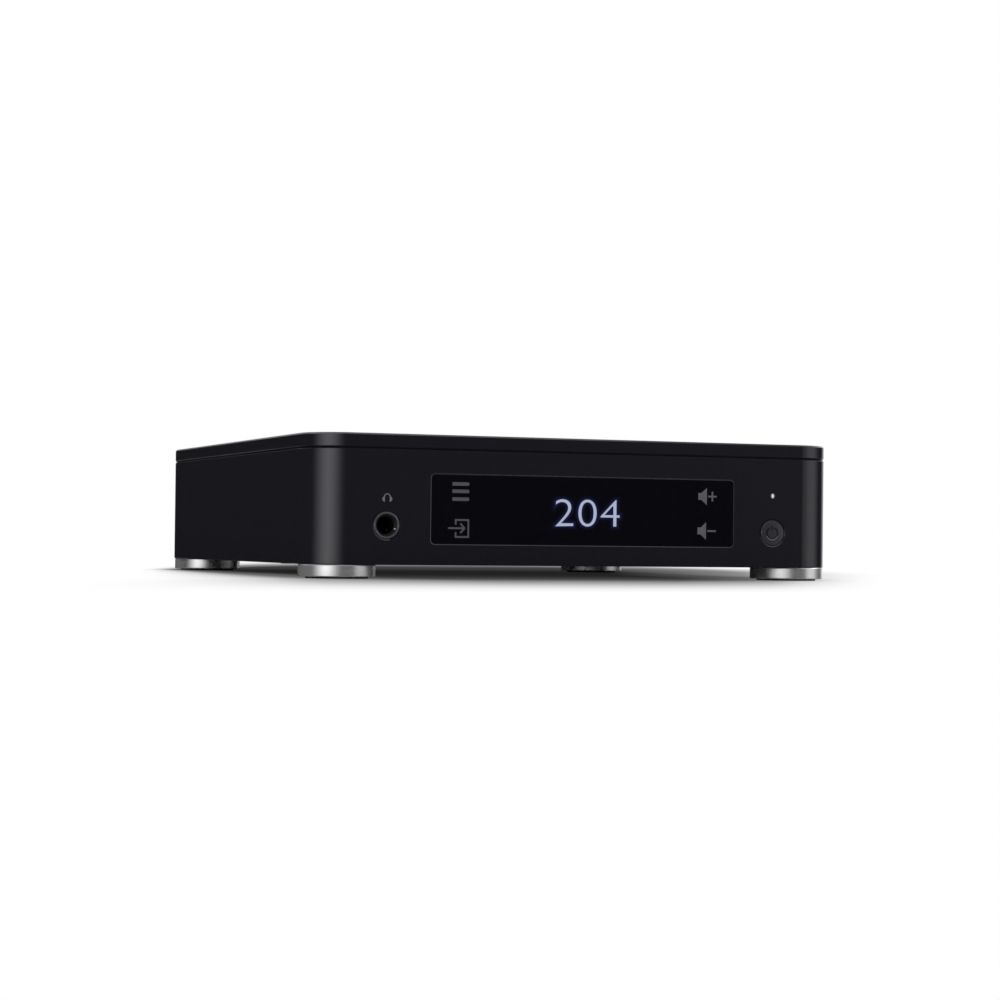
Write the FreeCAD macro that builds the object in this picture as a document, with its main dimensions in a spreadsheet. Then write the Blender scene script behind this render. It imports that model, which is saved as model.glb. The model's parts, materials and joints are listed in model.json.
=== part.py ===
import FreeCAD, Part
import math
import os
import re
import Sketcher

# A half-width DAC preamplifier: an extruded aluminium body with a lid above a shadow gap, a dark window with
# a display and touch signs, a sprung power button, a headphone socket, four round feet, and a row of sockets
# at the rear, one of them with a hinged shutter.
#
# Every piece is drawn in the case's own frame: X to the right seen from the front, the front wall towards -Y,
# the pads of the feet on Z = 0, and the case centred on X = 0, Y = 0. CASE_SHIFT then centres the whole
# object, sockets included, on the origin.

# Driving dimensions in millimetres

DRIVING = [
    # case
    ("case_width", 215.0),
    ("case_depth", 220.0),
    ("corner_radius", 16.0),
    ("wall", 3.0),
    ("foot_height", 5.1),
    ("body_height", 42.1),
    ("shadow_gap", 0.5),
    ("lid_height", 5.1),
    ("lid_skin", 2.0),
    ("lid_bevel", 0.6),
    ("lid_boss_size", 6.4),
    ("lip_depth", 2.5),
    ("lip_wall", 1.2),
    ("lip_clearance", 0.15),
    ("edge_chamfer", 0.3),
    ("plate_thickness", 2.0),
    ("plate_clearance", 0.15),
    # screw channels in the side walls
    ("channel_radius", 3.5),
    ("channel_round", 2.0),
    ("channel_spacing", 120.0),
    ("notch_clearance", 0.3),
    ("piece_clearance", 0.6),
    # vent slots in the base plate
    ("vent_length", 60.0),
    ("vent_width", 2.4),
    ("vent_pitch", 6.0),
    ("vent_y", 24.0),
    # feet
    ("foot_radius", 14.2),
    ("foot_inset", 14.8),
    ("pad_radius", 11.5),
    ("pad_thickness", 0.6),
    # window, display and touch pads
    ("window_width", 123.9),
    ("window_height", 26.3),
    ("window_z", 25.65),
    ("window_round", 1.8),
    ("window_ledge", 3.0),
    ("lens_thickness", 1.8),
    ("lens_recess", 0.1),
    ("lens_clearance", 0.1),
    ("tape_thickness", 0.2),
    ("display_width", 84.0),
    ("display_height", 19.4),
    ("display_glass", 1.6),
    ("display_gap", 0.3),
    ("display_rim", 2.0),
    ("touch_x", 50.5),
    ("touch_z", 25.55),
    ("touch_pitch", 13.3),
    ("touch_size", 6.0),
    # front board and its bosses
    ("board_gap", 7.0),
    ("board_thickness", 1.6),
    ("front_board_left", -66.0),
    ("front_board_right", 97.0),
    ("front_board_height", 35.6),
    ("front_board_lift", 0.6),
    ("front_boss_size", 5.2),
    ("front_boss_left", -55.0),
    ("front_boss_right", 91.0),
    ("front_boss_edge", 2.9),
    # button, switch and standby lamp
    ("control_x", 78.6),
    ("button_z", 18.5),
    ("button_radius", 4.95),
    ("button_clearance", 0.25),
    ("button_proud", 0.4),
    ("button_round", 0.4),
    ("button_travel", 0.5),
    ("flange_radius", 6.2),
    ("flange_thickness", 1.0),
    ("flange_gap", 0.05),
    ("stem_radius", 1.6),
    ("switch_size", 6.2),
    ("switch_height", 3.5),
    ("plunger_radius", 1.7),
    ("plunger_clearance", 0.05),
    ("plunger_reach", 1.4),
    ("plunger_depth", 0.9),
    ("lamp_z", 32.8),
    ("pipe_radius", 1.0),
    ("pipe_clearance", 0.05),
    ("pipe_flange", 1.8),
    ("pipe_gap", 0.3),
    ("lamp_size", 1.6),
    ("lamp_height", 1.0),
    # headphone socket
    ("jack_x", -78.7),
    ("jack_z", 19.45),
    ("jack_hole_radius", 5.2),
    ("bush_radius", 4.85),
    ("bush_recess", 0.3),
    ("bore_radius", 3.2),
    ("bore_lead", 1.1),
    ("bore_depth", 31.0),
    ("jack_width", 14.0),
    ("jack_height", 15.0),
    ("jack_depth", 31.0),
    ("leaf_width", 1.6),
    ("leaf_length", 5.0),
    ("leaf_pitch", 8.0),
    ("leaf_start", 1.5),
    ("leaf_drop", 1.3),
    ("leaf_clearance", 0.1),
    ("headphone_board_width", 24.0),
    ("headphone_board_tail", 2.0),
    # rear panel
    ("panel_width", 156.0),
    ("panel_height", 34.0),
    ("panel_z", 26.15),
    ("panel_thickness", 2.0),
    ("panel_clearance", 0.1),
    ("panel_ledge", 3.0),
    ("panel_round", 2.0),
    ("rear_boss_size", 5.6),
    ("rear_boss_depth", 6.0),
    ("rear_boss_edge", 3.2),
    # phono sockets
    ("rca_reach", 9.0),
    ("rca_radius", 4.15),
    ("rca_wall", 0.6),
    ("rca_hole_clearance", 0.15),
    ("rca_gap", 0.05),
    ("rca_recess", 1.0),
    ("rca_pin_radius", 1.65),
    ("rca_pin_depth", 7.5),
    ("rca_low_z", 19.4),
    ("rca_pitch", 14.0),
    ("rca_housing_width", 11.0),
    ("rca_housing_depth", 13.0),
    ("rca_housing_roof", 6.5),
    ("line_out_x", 60.0),
    ("coaxial_x", 22.0),
    # optical socket and shutter
    ("optical_x", 2.0),
    ("optical_z", 18.6),
    ("optical_width", 13.5),
    ("optical_depth", 14.0),
    ("optical_proud", 0.4),
    ("optical_mouth", 8.8),
    ("optical_lip", 1.2),
    ("optical_cavity", 12.6),
    ("optical_roof", 1.2),
    ("shutter_thickness", 0.8),
    ("shutter_clearance", 0.15),
    ("barrel_radius", 0.9),
    ("barrel_gap", 0.3),
    ("shutter_pin_radius", 0.5),
    ("shutter_pin_clearance", 0.05),
    ("shutter_pin_bite", 1.2),
    # square USB socket
    ("usb_x", -20.0),
    ("usb_z", 18.2),
    ("usb_width", 12.0),
    ("usb_height", 11.0),
    ("usb_depth", 16.0),
    ("usb_proud", 0.4),
    ("usb_wall", 1.5),
    ("usb_bevel", 2.0),
    ("usb_tongue_width", 5.6),
    ("usb_tongue_height", 3.2),
    ("usb_tongue_length", 8.5),
    ("usb_plug_depth", 11.0),
    ("usb_fit", 0.1),
    # supply socket
    ("supply_x", -60.0),
    ("supply_z", 18.4),
    ("supply_bush_radius", 4.3),
    ("supply_bore_radius", 3.1),
    ("supply_bore_depth", 10.0),
    ("supply_pin_radius", 1.0),
    ("supply_pin_recess", 1.0),
    ("supply_width", 10.0),
    ("supply_height", 12.0),
    ("supply_depth", 14.0),
    ("supply_clearance", 0.15),
    # main board
    ("board_width", 172.0),
    ("main_board_gap", 8.0),
    ("standoff_height", 3.25),
    ("standoff_radius", 3.2),
    ("standoff_x", 80.0),
    ("standoff_edge", 9.7),
    # heat sink and regulators
    ("sink_x", -46.0),
    ("sink_y", 22.0),
    ("sink_length", 48.0),
    ("sink_height", 24.0),
    ("sink_base", 3.0),
    ("sink_fin", 1.2),
    ("sink_fin_pitch", 4.0),
    ("sink_fin_reach", 9.0),
    ("regulator_width", 10.0),
    ("regulator_thickness", 4.5),
    ("regulator_height", 16.0),
    ("regulator_pitch", 15.0),
    # ribbons
    ("ribbon_thickness", 0.3),
    ("display_ribbon_width", 14.0),
    ("display_ribbon_x", -8.0),
    ("display_ribbon_z", 24.0),
    ("display_ribbon_lead", 8.0),
    ("display_ribbon_bend", 8.0),
    ("headphone_ribbon_width", 10.0),
    ("headphone_ribbon_bend", 6.0),
]

# Pieces soldered to the main board: place of the first from the board's middle, size, and pitch both ways
BOARD_PIECES = {
    "dac_chip": (22.0, 14.0, 10.0, 10.0, 1.2),
    "usb_receiver_chip": (-20.0, 48.0, 14.0, 14.0, 1.4),
    "processor_chip": (-12.0, -16.0, 12.0, 12.0, 1.4),
    "headphone_amplifier_chip": (-62.0, -58.0, 9.0, 7.0, 1.6),
    "op_amps": (46.0, 6.0, 5.0, 4.0, 1.6, 16.0, 12.0),
    "mute_relays": (42.0, 56.0, 10.0, 14.0, 9.0, 18.0),
    "clock_crystals": (6.0, 34.0, 5.0, 11.0, 3.6, 8.0),
    "coupling_capacitors": (42.0, 32.0, 5.0, 11.0, 10.0, 8.0),
    "filter_inductors": (-74.0, -34.0, 11.0, 11.0, 6.5, 0.0, 16.0),
}
FIELDS = ("x", "y", "width", "depth", "height", "pitch_x", "pitch_y")
# How many of a kind stand side by side and behind each other, where there is more than one
COUNTS = {
    "op_amps": (2, 2),
    "mute_relays": (2, 1),
    "clock_crystals": (2, 1),
    "coupling_capacitors": (4, 1),
    "filter_inductors": (1, 2),
}
CANS = [
    ("can_x", -75.0),
    ("can_y", 34.0),
    ("can_radius", 7.5),
    ("can_height", 20.0),
    ("can_pitch", 17.0),
]

doc = FreeCAD.newDocument("dac_preamplifier")
sheet = doc.addObject("Spreadsheet::Sheet", "Sizes")
rows = list(DRIVING) + CANS
for piece, figures in BOARD_PIECES.items():
    rows += [(f"{piece}_{field}", figure) for field, figure in zip(FIELDS, figures)]
for row, (alias, size) in enumerate(rows, start=1):
    sheet.set(f"A{row}", alias)
    sheet.set(f"B{row}", str(size))
    sheet.setAlias(f"B{row}", alias)
doc.recompute()
ALIASES = {alias for alias, size in rows}

# Places that follow from the driving dimensions, as expressions

FRONT = "(-case_depth / 2)"
REAR = "(case_depth / 2)"
INNER_FRONT = "(-case_depth / 2 + wall)"
SIDE = "(case_width / 2)"
BODY_TOP = "(foot_height + body_height)"
LID_BOTTOM = "(foot_height + body_height + shadow_gap)"
LID_ROOF = "(foot_height + body_height + shadow_gap + lid_height - lid_skin)"
PLATE_TOP = "(foot_height + plate_thickness)"
CHANNEL_X = "(case_width / 2 - wall - channel_radius)"
CHANNEL_Y = "(channel_spacing / 2)"
FOOT_X = "(case_width / 2 - foot_inset)"
FOOT_Y = "(case_depth / 2 - foot_inset)"
BOARD_FACE = "(-case_depth / 2 + wall + board_gap)"
FRONT_BOARD_LOW = "(foot_height + plate_thickness + front_board_lift)"
BOSS_LOW = "(foot_height + plate_thickness + front_board_lift + front_boss_edge)"
BOSS_HIGH = "(foot_height + plate_thickness + front_board_lift + front_board_height - front_boss_edge)"
BOARD_LOW = "(foot_height + plate_thickness + standoff_height)"
BOARD_TOP = "(foot_height + plate_thickness + standoff_height + board_thickness)"
JACK_BOARD_DEPTH = "(jack_depth + headphone_board_tail)"
MAIN_FRONT = f"({INNER_FRONT} + {JACK_BOARD_DEPTH} + main_board_gap)"
MAIN_REAR = "(case_depth / 2 - panel_thickness - rear_boss_depth - piece_clearance)"
MAIN_DEPTH = f"({MAIN_REAR} - {MAIN_FRONT})"
MAIN_MIDDLE = f"(({MAIN_REAR} + {MAIN_FRONT}) / 2)"
STANDOFF_SPACING = f"({MAIN_DEPTH} / 2 - standoff_edge)"
PANEL_SEAT = "(case_depth / 2 - panel_thickness)"
REAR_BOSS_X = "(panel_width / 2 - rear_boss_edge)"
BOSS_UNDER = "(panel_z - panel_height / 2 + rear_boss_edge)"
BOSS_OVER = "(panel_z + panel_height / 2 - rear_boss_edge)"
RCA_HIGH = "(rca_low_z + rca_pitch)"
RCA_INSIDE = "(rca_radius - rca_wall)"
HINGE_Y = "(case_depth / 2 + optical_proud - optical_lip - barrel_gap - barrel_radius)"
HINGE_Z = "(optical_z + optical_mouth / 2 + barrel_radius + shutter_clearance)"
OPTICAL_TOP = "(optical_z + optical_mouth / 2 + 2 * barrel_radius + 2 * shutter_clearance + optical_roof)"
CHAMBER_TOP = "(optical_z + optical_mouth / 2 + 2 * barrel_radius + 2 * shutter_clearance)"
CASE_SHIFT = "((button_proud - rca_reach) / 2)"

# Corners of a rectangular pattern, as signs
CORNERS = [(-1, -1), (1, -1), (-1, 1), (1, 1)]

parts = []
place_y = {}


def ref(text):
    """The expression with each size's name pointed at the sheet."""
    return re.sub(r"[a-z_][a-z_0-9]*", lambda m: f"Sizes.{m[0]}" if m[0] in ALIASES else m[0], str(text))


def number(text):
    """The present value of an expression."""
    return float(sheet.evalExpression(str(text)))


def bind(thing, path, text):
    thing.setExpression(path, ref(text))


def deliver(thing, label):
    """Name a finished sub-part and move it from the case's frame to the object's."""
    thing.Label = label
    bind(thing, "Placement.Base.y", f"{place_y.get(thing.Name, '0')} + {CASE_SHIFT}")
    parts.append(thing)


# Part primitives and booleans


def locate(thing, x, y, z):
    bind(thing, "Placement.Base.x", x)
    bind(thing, "Placement.Base.y", y)
    bind(thing, "Placement.Base.z", z)
    place_y[thing.Name] = f"({y})"


def block(name, x, y, z, width, depth, height):
    """A box centred on x, with its front face at y and its underside at z."""
    box = doc.addObject("Part::Box", name)
    bind(box, "Length", width)
    bind(box, "Width", depth)
    bind(box, "Height", height)
    locate(box, f"{x} - ({width}) / 2", y, z)
    return box


TURNS = {
    "up": FreeCAD.Rotation(),
    "down": FreeCAD.Rotation(FreeCAD.Vector(1, 0, 0), 180),
    "front": FreeCAD.Rotation(FreeCAD.Vector(1, 0, 0), 90),
    "back": FreeCAD.Rotation(FreeCAD.Vector(1, 0, 0), -90),
    "right": FreeCAD.Rotation(FreeCAD.Vector(0, 1, 0), 90),
}


def rod(name, way, x, y, z, radius, length):
    """A cylinder that starts at a point and runs one way."""
    cylinder = doc.addObject("Part::Cylinder", name)
    cylinder.Placement = FreeCAD.Placement(FreeCAD.Vector(), TURNS[way])
    bind(cylinder, "Radius", radius)
    bind(cylinder, "Height", length)
    locate(cylinder, x, y, z)
    return cylinder


def cone(name, way, x, y, z, start, end, length):
    """A cone that starts at a point and runs one way."""
    taper = doc.addObject("Part::Cone", name)
    taper.Placement = FreeCAD.Placement(FreeCAD.Vector(), TURNS[way])
    bind(taper, "Radius1", start)
    bind(taper, "Radius2", end)
    bind(taper, "Height", length)
    locate(taper, x, y, z)
    return taper


def hexagon(name, x, y, z, radius, length):
    """A six-sided post that stands on a point."""
    prism = doc.addObject("Part::Prism", name)
    prism.Polygon = 6
    bind(prism, "Circumradius", radius)
    bind(prism, "Height", length)
    locate(prism, x, y, z)
    return prism


def joined(name, pieces):
    fuse = doc.addObject("Part::MultiFuse", name)
    fuse.Shapes = pieces
    fuse.Refine = True
    return fuse


def without(name, base, tools):
    """The base with the tools cut away."""
    result = doc.addObject("Part::Cut", name)
    result.Base = base
    result.Tool = tools[0] if len(tools) == 1 else joined(name + "_tools", tools)
    result.Refine = True
    return result


def group(name, pieces):
    """Several like solids that share one sub-part."""
    compound = doc.addObject("Part::Compound", name)
    compound.Links = pieces
    return compound


# Sketches and the features made from them


def new_body(name):
    return doc.addObject("PartDesign::Body", name)


def sketch_on(body, name, plane, offset):
    """A sketch on one of the body's own planes, moved along the plane's normal."""
    sketch = body.newObject("Sketcher::SketchObject", name)
    origin = next(item for item in body.Origin.OriginFeatures if item.Role == plane)
    sketch.AttachmentSupport = [(origin, "")]
    sketch.MapMode = "FlatFace"
    bind(sketch, "AttachmentOffset.Base.z", offset)
    return sketch


def hold(sketch, kind, geometry, point, text):
    """Fix one coordinate of a point, measured from the sketch's origin."""
    constraint = Sketcher.Constraint(kind, -1, 1, geometry, point, number(text))
    index = sketch.addConstraint(constraint)
    bind(sketch, f"Constraints[{index}]", text)


def circle(sketch, x, y, radius):
    centre = FreeCAD.Vector(number(x), number(y), 0)
    index = sketch.addGeometry(Part.Circle(centre, FreeCAD.Vector(0, 0, 1), number(radius)))
    hold(sketch, "DistanceX", index, 3, x)
    hold(sketch, "DistanceY", index, 3, y)
    constraint = sketch.addConstraint(Sketcher.Constraint("Radius", index, number(radius)))
    bind(sketch, f"Constraints[{constraint}]", radius)


def outline(sketch, points):
    """A closed outline of straight lines through points that are pairs of expressions."""
    spots = [FreeCAD.Vector(number(x), number(y), 0) for x, y in points]
    count = len(points)
    first = sketch.GeometryCount
    for index in range(count):
        sketch.addGeometry(Part.LineSegment(spots[index], spots[(index + 1) % count]))
    for index in range(count):
        after = first + (index + 1) % count
        sketch.addConstraint(Sketcher.Constraint("Coincident", first + index, 2, after, 1))
    for index, (x, y) in enumerate(points):
        hold(sketch, "DistanceX", first + index, 1, x)
        hold(sketch, "DistanceY", first + index, 1, y)


def rectangle(sketch, left, right, low, high):
    outline(sketch, [(left, low), (right, low), (right, high), (left, high)])


def square(sketch, x, y, size):
    half = f"({size}) / 2"
    rectangle(sketch, f"{x} - {half}", f"{x} + {half}", f"{y} - {half}", f"{y} + {half}")


def round_rectangle(sketch, left, right, low, high, radius):
    """A rectangle with four equal round corners."""
    x0, x1, y0, y1, r = (number(text) for text in (left, right, low, high, radius))
    normal = FreeCAD.Vector(0, 0, 1)
    quarter = math.pi / 2
    lines = [
        ((x0 + r, y0), (x1 - r, y0)),
        ((x1, y0 + r), (x1, y1 - r)),
        ((x1 - r, y1), (x0 + r, y1)),
        ((x0, y1 - r), (x0, y0 + r)),
    ]
    centres = [(x1 - r, y0 + r), (x1 - r, y1 - r), (x0 + r, y1 - r), (x0 + r, y0 + r)]
    first = sketch.GeometryCount
    for index, (line, centre) in enumerate(zip(lines, centres)):
        sketch.addGeometry(Part.LineSegment(*(FreeCAD.Vector(x, y, 0) for x, y in line)))
        corner = Part.Circle(FreeCAD.Vector(*centre, 0), normal, r)
        sketch.addGeometry(Part.ArcOfCircle(corner, (index - 1) * quarter, index * quarter))
    for index in range(8):
        after = first + (index + 1) % 8
        sketch.addConstraint(Sketcher.Constraint("Tangent", first + index, 2, after, 1))
    for index, kind in ((0, "Horizontal"), (2, "Vertical"), (4, "Horizontal"), (6, "Vertical")):
        sketch.addConstraint(Sketcher.Constraint(kind, first + index))
    for index in (3, 5, 7):
        sketch.addConstraint(Sketcher.Constraint("Equal", first + 1, first + index))
    constraint = sketch.addConstraint(Sketcher.Constraint("Radius", first + 1, r))
    bind(sketch, f"Constraints[{constraint}]", radius)
    hold(sketch, "DistanceY", first, 1, low)
    hold(sketch, "DistanceX", first + 2, 1, right)
    hold(sketch, "DistanceY", first + 4, 1, high)
    hold(sketch, "DistanceX", first + 6, 1, left)


def inset_outline(sketch, inset):
    """The case's outline seen from above, drawn in from its outside."""
    half_width = f"(case_width / 2 - {inset})"
    half_depth = f"(case_depth / 2 - {inset})"
    radius = f"corner_radius - {inset}"
    round_rectangle(sketch, f"-{half_width}", half_width, f"-{half_depth}", half_depth, radius)


def pad(body, sketch, length, against_normal=False):
    feature = body.newObject("PartDesign::Pad", sketch.Name + "_pad")
    feature.Profile = sketch
    feature.Reversed = against_normal
    bind(feature, "Length", length)
    doc.recompute()
    return feature


def pocket(body, sketch, length, along_normal=False):
    """Cut a sketch into the body, and stop if it cuts nothing."""
    before = body.Shape.Volume
    feature = body.newObject("PartDesign::Pocket", sketch.Name + "_pocket")
    feature.Profile = sketch
    feature.Reversed = along_normal
    bind(feature, "Length", length)
    doc.recompute()
    if body.Shape.Volume >= before - 1e-6:
        raise ValueError(f"{sketch.Name} cuts nothing")
    return feature


def edge_names(shape, wanted):
    """Names of the edges that a test picks out."""
    return [f"Edge{index}" for index, edge in enumerate(shape.Edges, start=1) if wanted(edge)]


def dress(body, kind, size, wanted):
    """A fillet or chamfer on the edges that a test picks out."""
    base = body.Tip
    names = edge_names(body.Shape, wanted)
    if not names:
        raise ValueError(f"no edges to dress on {body.Name}")
    feature = body.newObject(f"PartDesign::{kind}", f"{body.Name}_{kind.lower()}")
    feature.Base = (base, names)
    bind(feature, "Radius" if kind == "Fillet" else "Size", size)
    doc.recompute()
    return feature


def turned(name, way, x, y, z, points):
    """A round piece: its half section, as pairs of radius and distance along the axis, spun about it."""
    body = new_body(name)
    sketch = sketch_on(body, name + "_section", "XZ_Plane", "0")
    outline(sketch, points)
    feature = body.newObject("PartDesign::Revolution", name + "_turn")
    feature.Profile = sketch
    feature.ReferenceAxis = (sketch, ["V_Axis"])
    feature.Angle = 360
    body.Placement = FreeCAD.Placement(FreeCAD.Vector(), TURNS[way])
    locate(body, x, y, z)
    return body


# Case


def case_frame():
    """The extruded ring: outer wall, four screw channels, front openings and the rear seat."""
    body = new_body("case_frame")
    ring = sketch_on(body, "frame_ring", "XY_Plane", "foot_height")
    inset_outline(ring, "0")
    inset_outline(ring, "wall")
    pad(body, ring, "body_height")

    channels = sketch_on(body, "frame_channels", "XY_Plane", PLATE_TOP)
    inner = "(case_width / 2 - wall - 2 * channel_radius)"
    outer = "(case_width / 2 - wall / 2)"
    for side, end in CORNERS:
        near, far = (inner, outer) if side > 0 else (f"-{outer}", f"-{inner}")
        low = f"{end} * {CHANNEL_Y} - channel_radius"
        high = f"{end} * {CHANNEL_Y} + channel_radius"
        round_rectangle(channels, near, far, low, high, "channel_round - wall / 4")
    pad(body, channels, "body_height - plate_thickness")

    dress(body, "Chamfer", "edge_chamfer", on_case_edge("foot_height", BODY_TOP))
    front_openings(body)
    rear_openings(body)
    deliver(body, "case_frame")


def on_case_edge(*levels):
    """A test for the edges of the case's outside at the given heights."""
    heights = [number(level) for level in levels]
    half_width = number(SIDE)
    half_depth = number(REAR)
    radius = number("corner_radius")

    def wanted(edge):
        box = edge.BoundBox
        flat = box.ZLength < 1e-6 and any(abs(box.ZMin - height) < 1e-6 for height in heights)
        middle = edge.valueAt((edge.FirstParameter + edge.LastParameter) / 2)
        x = abs(middle.x)
        y = abs(middle.y)
        corner = math.hypot(x - half_width + radius, y - half_depth + radius)
        round_part = x > half_width - radius and y > half_depth - radius and abs(corner - radius) < 1e-4
        return flat and (abs(x - half_width) < 1e-6 or abs(y - half_depth) < 1e-6 or round_part)

    return wanted


def window_sides(inset):
    """Left, right, low and high of the window, drawn in from its rebate."""
    half_width = f"(window_width / 2 - {inset})"
    half_height = f"(window_height / 2 - {inset})"
    return f"-{half_width}", half_width, f"(window_z - {half_height})", f"(window_z + {half_height})"


def window_outline(sketch, inset):
    round_rectangle(sketch, *window_sides(inset), "window_round - lens_clearance / 2")


def clipped_outline(sketch, inset, clip):
    """The window's outline with its corners clipped straight."""
    left, right, low, high = window_sides(inset)
    points = [(f"{left} + {clip}", low), (f"{right} - {clip}", low), (right, f"{low} + {clip}")]
    points += [(right, f"{high} - {clip}"), (f"{right} - {clip}", high), (f"{left} + {clip}", high)]
    points += [(left, f"{high} - {clip}"), (left, f"{low} + {clip}")]
    outline(sketch, points)


def front_openings(body):
    """Window rebate and opening, the three round holes and the bosses for the front board."""
    rebate = sketch_on(body, "window_rebate", "XZ_Plane", REAR)
    window_outline(rebate, "0")
    pocket(body, rebate, "lens_recess + lens_thickness + tape_thickness")
    opening = sketch_on(body, "window_opening", "XZ_Plane", REAR)
    rectangle(opening, *window_sides("window_ledge"))
    pocket(body, opening, "wall")

    holes = sketch_on(body, "front_holes", "XZ_Plane", REAR)
    circle(holes, "jack_x", "jack_z", "jack_hole_radius")
    circle(holes, "control_x", "button_z", "button_radius + button_clearance")
    circle(holes, "control_x", "lamp_z", "pipe_radius + pipe_clearance")
    pocket(body, holes, "wall")

    wide = [number("jack_hole_radius"), number("button_radius + button_clearance")]
    face = number(FRONT)

    def rim(edge):
        round_edge = isinstance(edge.Curve, Part.Circle) and abs(edge.BoundBox.YMin - face) < 1e-6
        return round_edge and any(abs(edge.Curve.Radius - radius) < 1e-6 for radius in wide)

    dress(body, "Chamfer", "edge_chamfer", rim)

    bosses = sketch_on(body, "front_bosses", "XZ_Plane", "case_depth / 2 - wall")
    for x in ("front_boss_left", "front_boss_right"):
        for z in (BOSS_LOW, BOSS_HIGH):
            square(bosses, x, z, "front_boss_size")
    pad(body, bosses, "board_gap", against_normal=True)


def rear_openings(body):
    """Seat and opening for the rear panel, with four bosses behind its corners."""
    panel_left = "-(panel_width / 2 + panel_clearance)"
    panel_right = "(panel_width / 2 + panel_clearance)"
    panel_low = "panel_z - panel_height / 2 - panel_clearance"
    panel_high = "panel_z + panel_height / 2 + panel_clearance"
    seat = sketch_on(body, "panel_seat", "XZ_Plane", FRONT)
    round_rectangle(seat, panel_left, panel_right, panel_low, panel_high, "panel_round")
    pocket(body, seat, "panel_thickness", along_normal=True)
    opening = sketch_on(body, "panel_opening", "XZ_Plane", FRONT)
    left = "-(panel_width / 2 - panel_ledge)"
    right = "(panel_width / 2 - panel_ledge)"
    low = f"{BOARD_TOP} - notch_clearance"
    high = "panel_z + panel_height / 2 - panel_ledge"
    round_rectangle(opening, left, right, low, high, "panel_round")
    pocket(body, opening, "wall", along_normal=True)
    bosses = sketch_on(body, "rear_bosses", "XZ_Plane", "-case_depth / 2 + panel_thickness")
    for side in (-1, 1):
        for z in (BOSS_UNDER, BOSS_OVER):
            square(bosses, f"{side} * {REAR_BOSS_X}", z, "rear_boss_size")
    pad(body, bosses, "rear_boss_depth")


def lid():
    """The cover: a shallow tray upside down, with a lip inside the frame and bosses on the channels."""
    body = new_body("lid")
    cover = sketch_on(body, "lid_cover", "XY_Plane", LID_BOTTOM)
    inset_outline(cover, "0")
    pad(body, cover, "lid_height")
    hollow = sketch_on(body, "lid_hollow", "XY_Plane", LID_BOTTOM)
    inset_outline(hollow, "(wall + lip_clearance + lip_wall)")
    pocket(body, hollow, "lid_height - lid_skin", along_normal=True)
    lip = sketch_on(body, "lid_lip", "XY_Plane", LID_BOTTOM)
    inset_outline(lip, "(wall + lip_clearance)")
    inset_outline(lip, "(wall + lip_clearance + lip_wall)")
    pad(body, lip, "lip_depth", against_normal=True)
    notches = sketch_on(body, "lid_notches", "XY_Plane", f"{LID_BOTTOM} - lip_depth")
    near = "(case_width / 2 - wall - lip_clearance - 2 * lip_wall)"
    far = "(case_width / 2 - wall)"
    for side, end in CORNERS:
        left, right = (near, far) if side > 0 else (f"-{far}", f"-{near}")
        low = f"{end} * {CHANNEL_Y} - channel_radius - notch_clearance"
        high = f"{end} * {CHANNEL_Y} + channel_radius + notch_clearance"
        rectangle(notches, left, right, low, high)
    pocket(body, notches, "lip_depth", along_normal=True)
    bosses = sketch_on(body, "lid_bosses", "XY_Plane", BODY_TOP)
    for side, end in CORNERS:
        square(bosses, f"{side} * {CHANNEL_X}", f"{end} * {CHANNEL_Y}", "lid_boss_size")
    pad(body, bosses, f"{LID_ROOF} - {BODY_TOP}")
    dress(body, "Chamfer", "lid_bevel", on_case_edge(f"{LID_BOTTOM} + lid_height"))
    dress(body, "Chamfer", "edge_chamfer", on_case_edge(LID_BOTTOM))
    deliver(body, "lid")


def base_plate():
    """The bottom plate, set inside the frame, with vent slots."""
    body = new_body("base_plate")
    plate = sketch_on(body, "plate_outline", "XY_Plane", "foot_height")
    inset_outline(plate, "(wall + plate_clearance)")
    pad(body, plate, "plate_thickness")
    slot = sketch_on(body, "vent_slot", "XY_Plane", PLATE_TOP)
    low = "vent_y - vent_width / 2"
    high = "vent_y + vent_width / 2"
    rectangle(slot, "-vent_length / 2", "vent_length / 2", low, high)
    first_vent = pocket(body, slot, "plate_thickness")
    vents = body.newObject("PartDesign::LinearPattern", "vent_pattern")
    vents.Originals = [first_vent]
    vents.Direction = (slot, ["V_Axis"])
    vents.Mode = "Spacing"
    bind(vents, "Offset", "vent_pitch")
    vents.Occurrences = 5
    body.Tip = vents
    deliver(body, "base_plate")


def rear_panel():
    """The plate that carries the sockets."""
    body = new_body("rear_panel")
    plate = sketch_on(body, "panel_plate", "XZ_Plane", FRONT)
    low = "panel_z - panel_height / 2"
    high = "panel_z + panel_height / 2"
    radius = "panel_round - panel_clearance"
    round_rectangle(plate, "-panel_width / 2", "panel_width / 2", low, high, radius)
    pad(body, plate, "panel_thickness")
    holes = sketch_on(body, "panel_holes", "XZ_Plane", FRONT)
    for x, z in RCA_PLACES:
        circle(holes, x, z, f"{RCA_INSIDE} + rca_hole_clearance")
    circle(holes, "supply_x", "supply_z", "supply_bush_radius + supply_clearance")
    half = "(optical_width / 2 + panel_clearance)"
    low = f"{BOARD_TOP} - panel_clearance"
    rectangle(holes, f"optical_x - {half}", f"optical_x + {half}", low, f"{OPTICAL_TOP} + panel_clearance")
    half = "(usb_width / 2 + panel_clearance)"
    rise = "(usb_height / 2 + panel_clearance)"
    rectangle(holes, f"usb_x - {half}", f"usb_x + {half}", f"usb_z - {rise}", f"usb_z + {rise}")
    pocket(body, holes, "panel_thickness", along_normal=True)
    deliver(body, "rear_panel")


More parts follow.
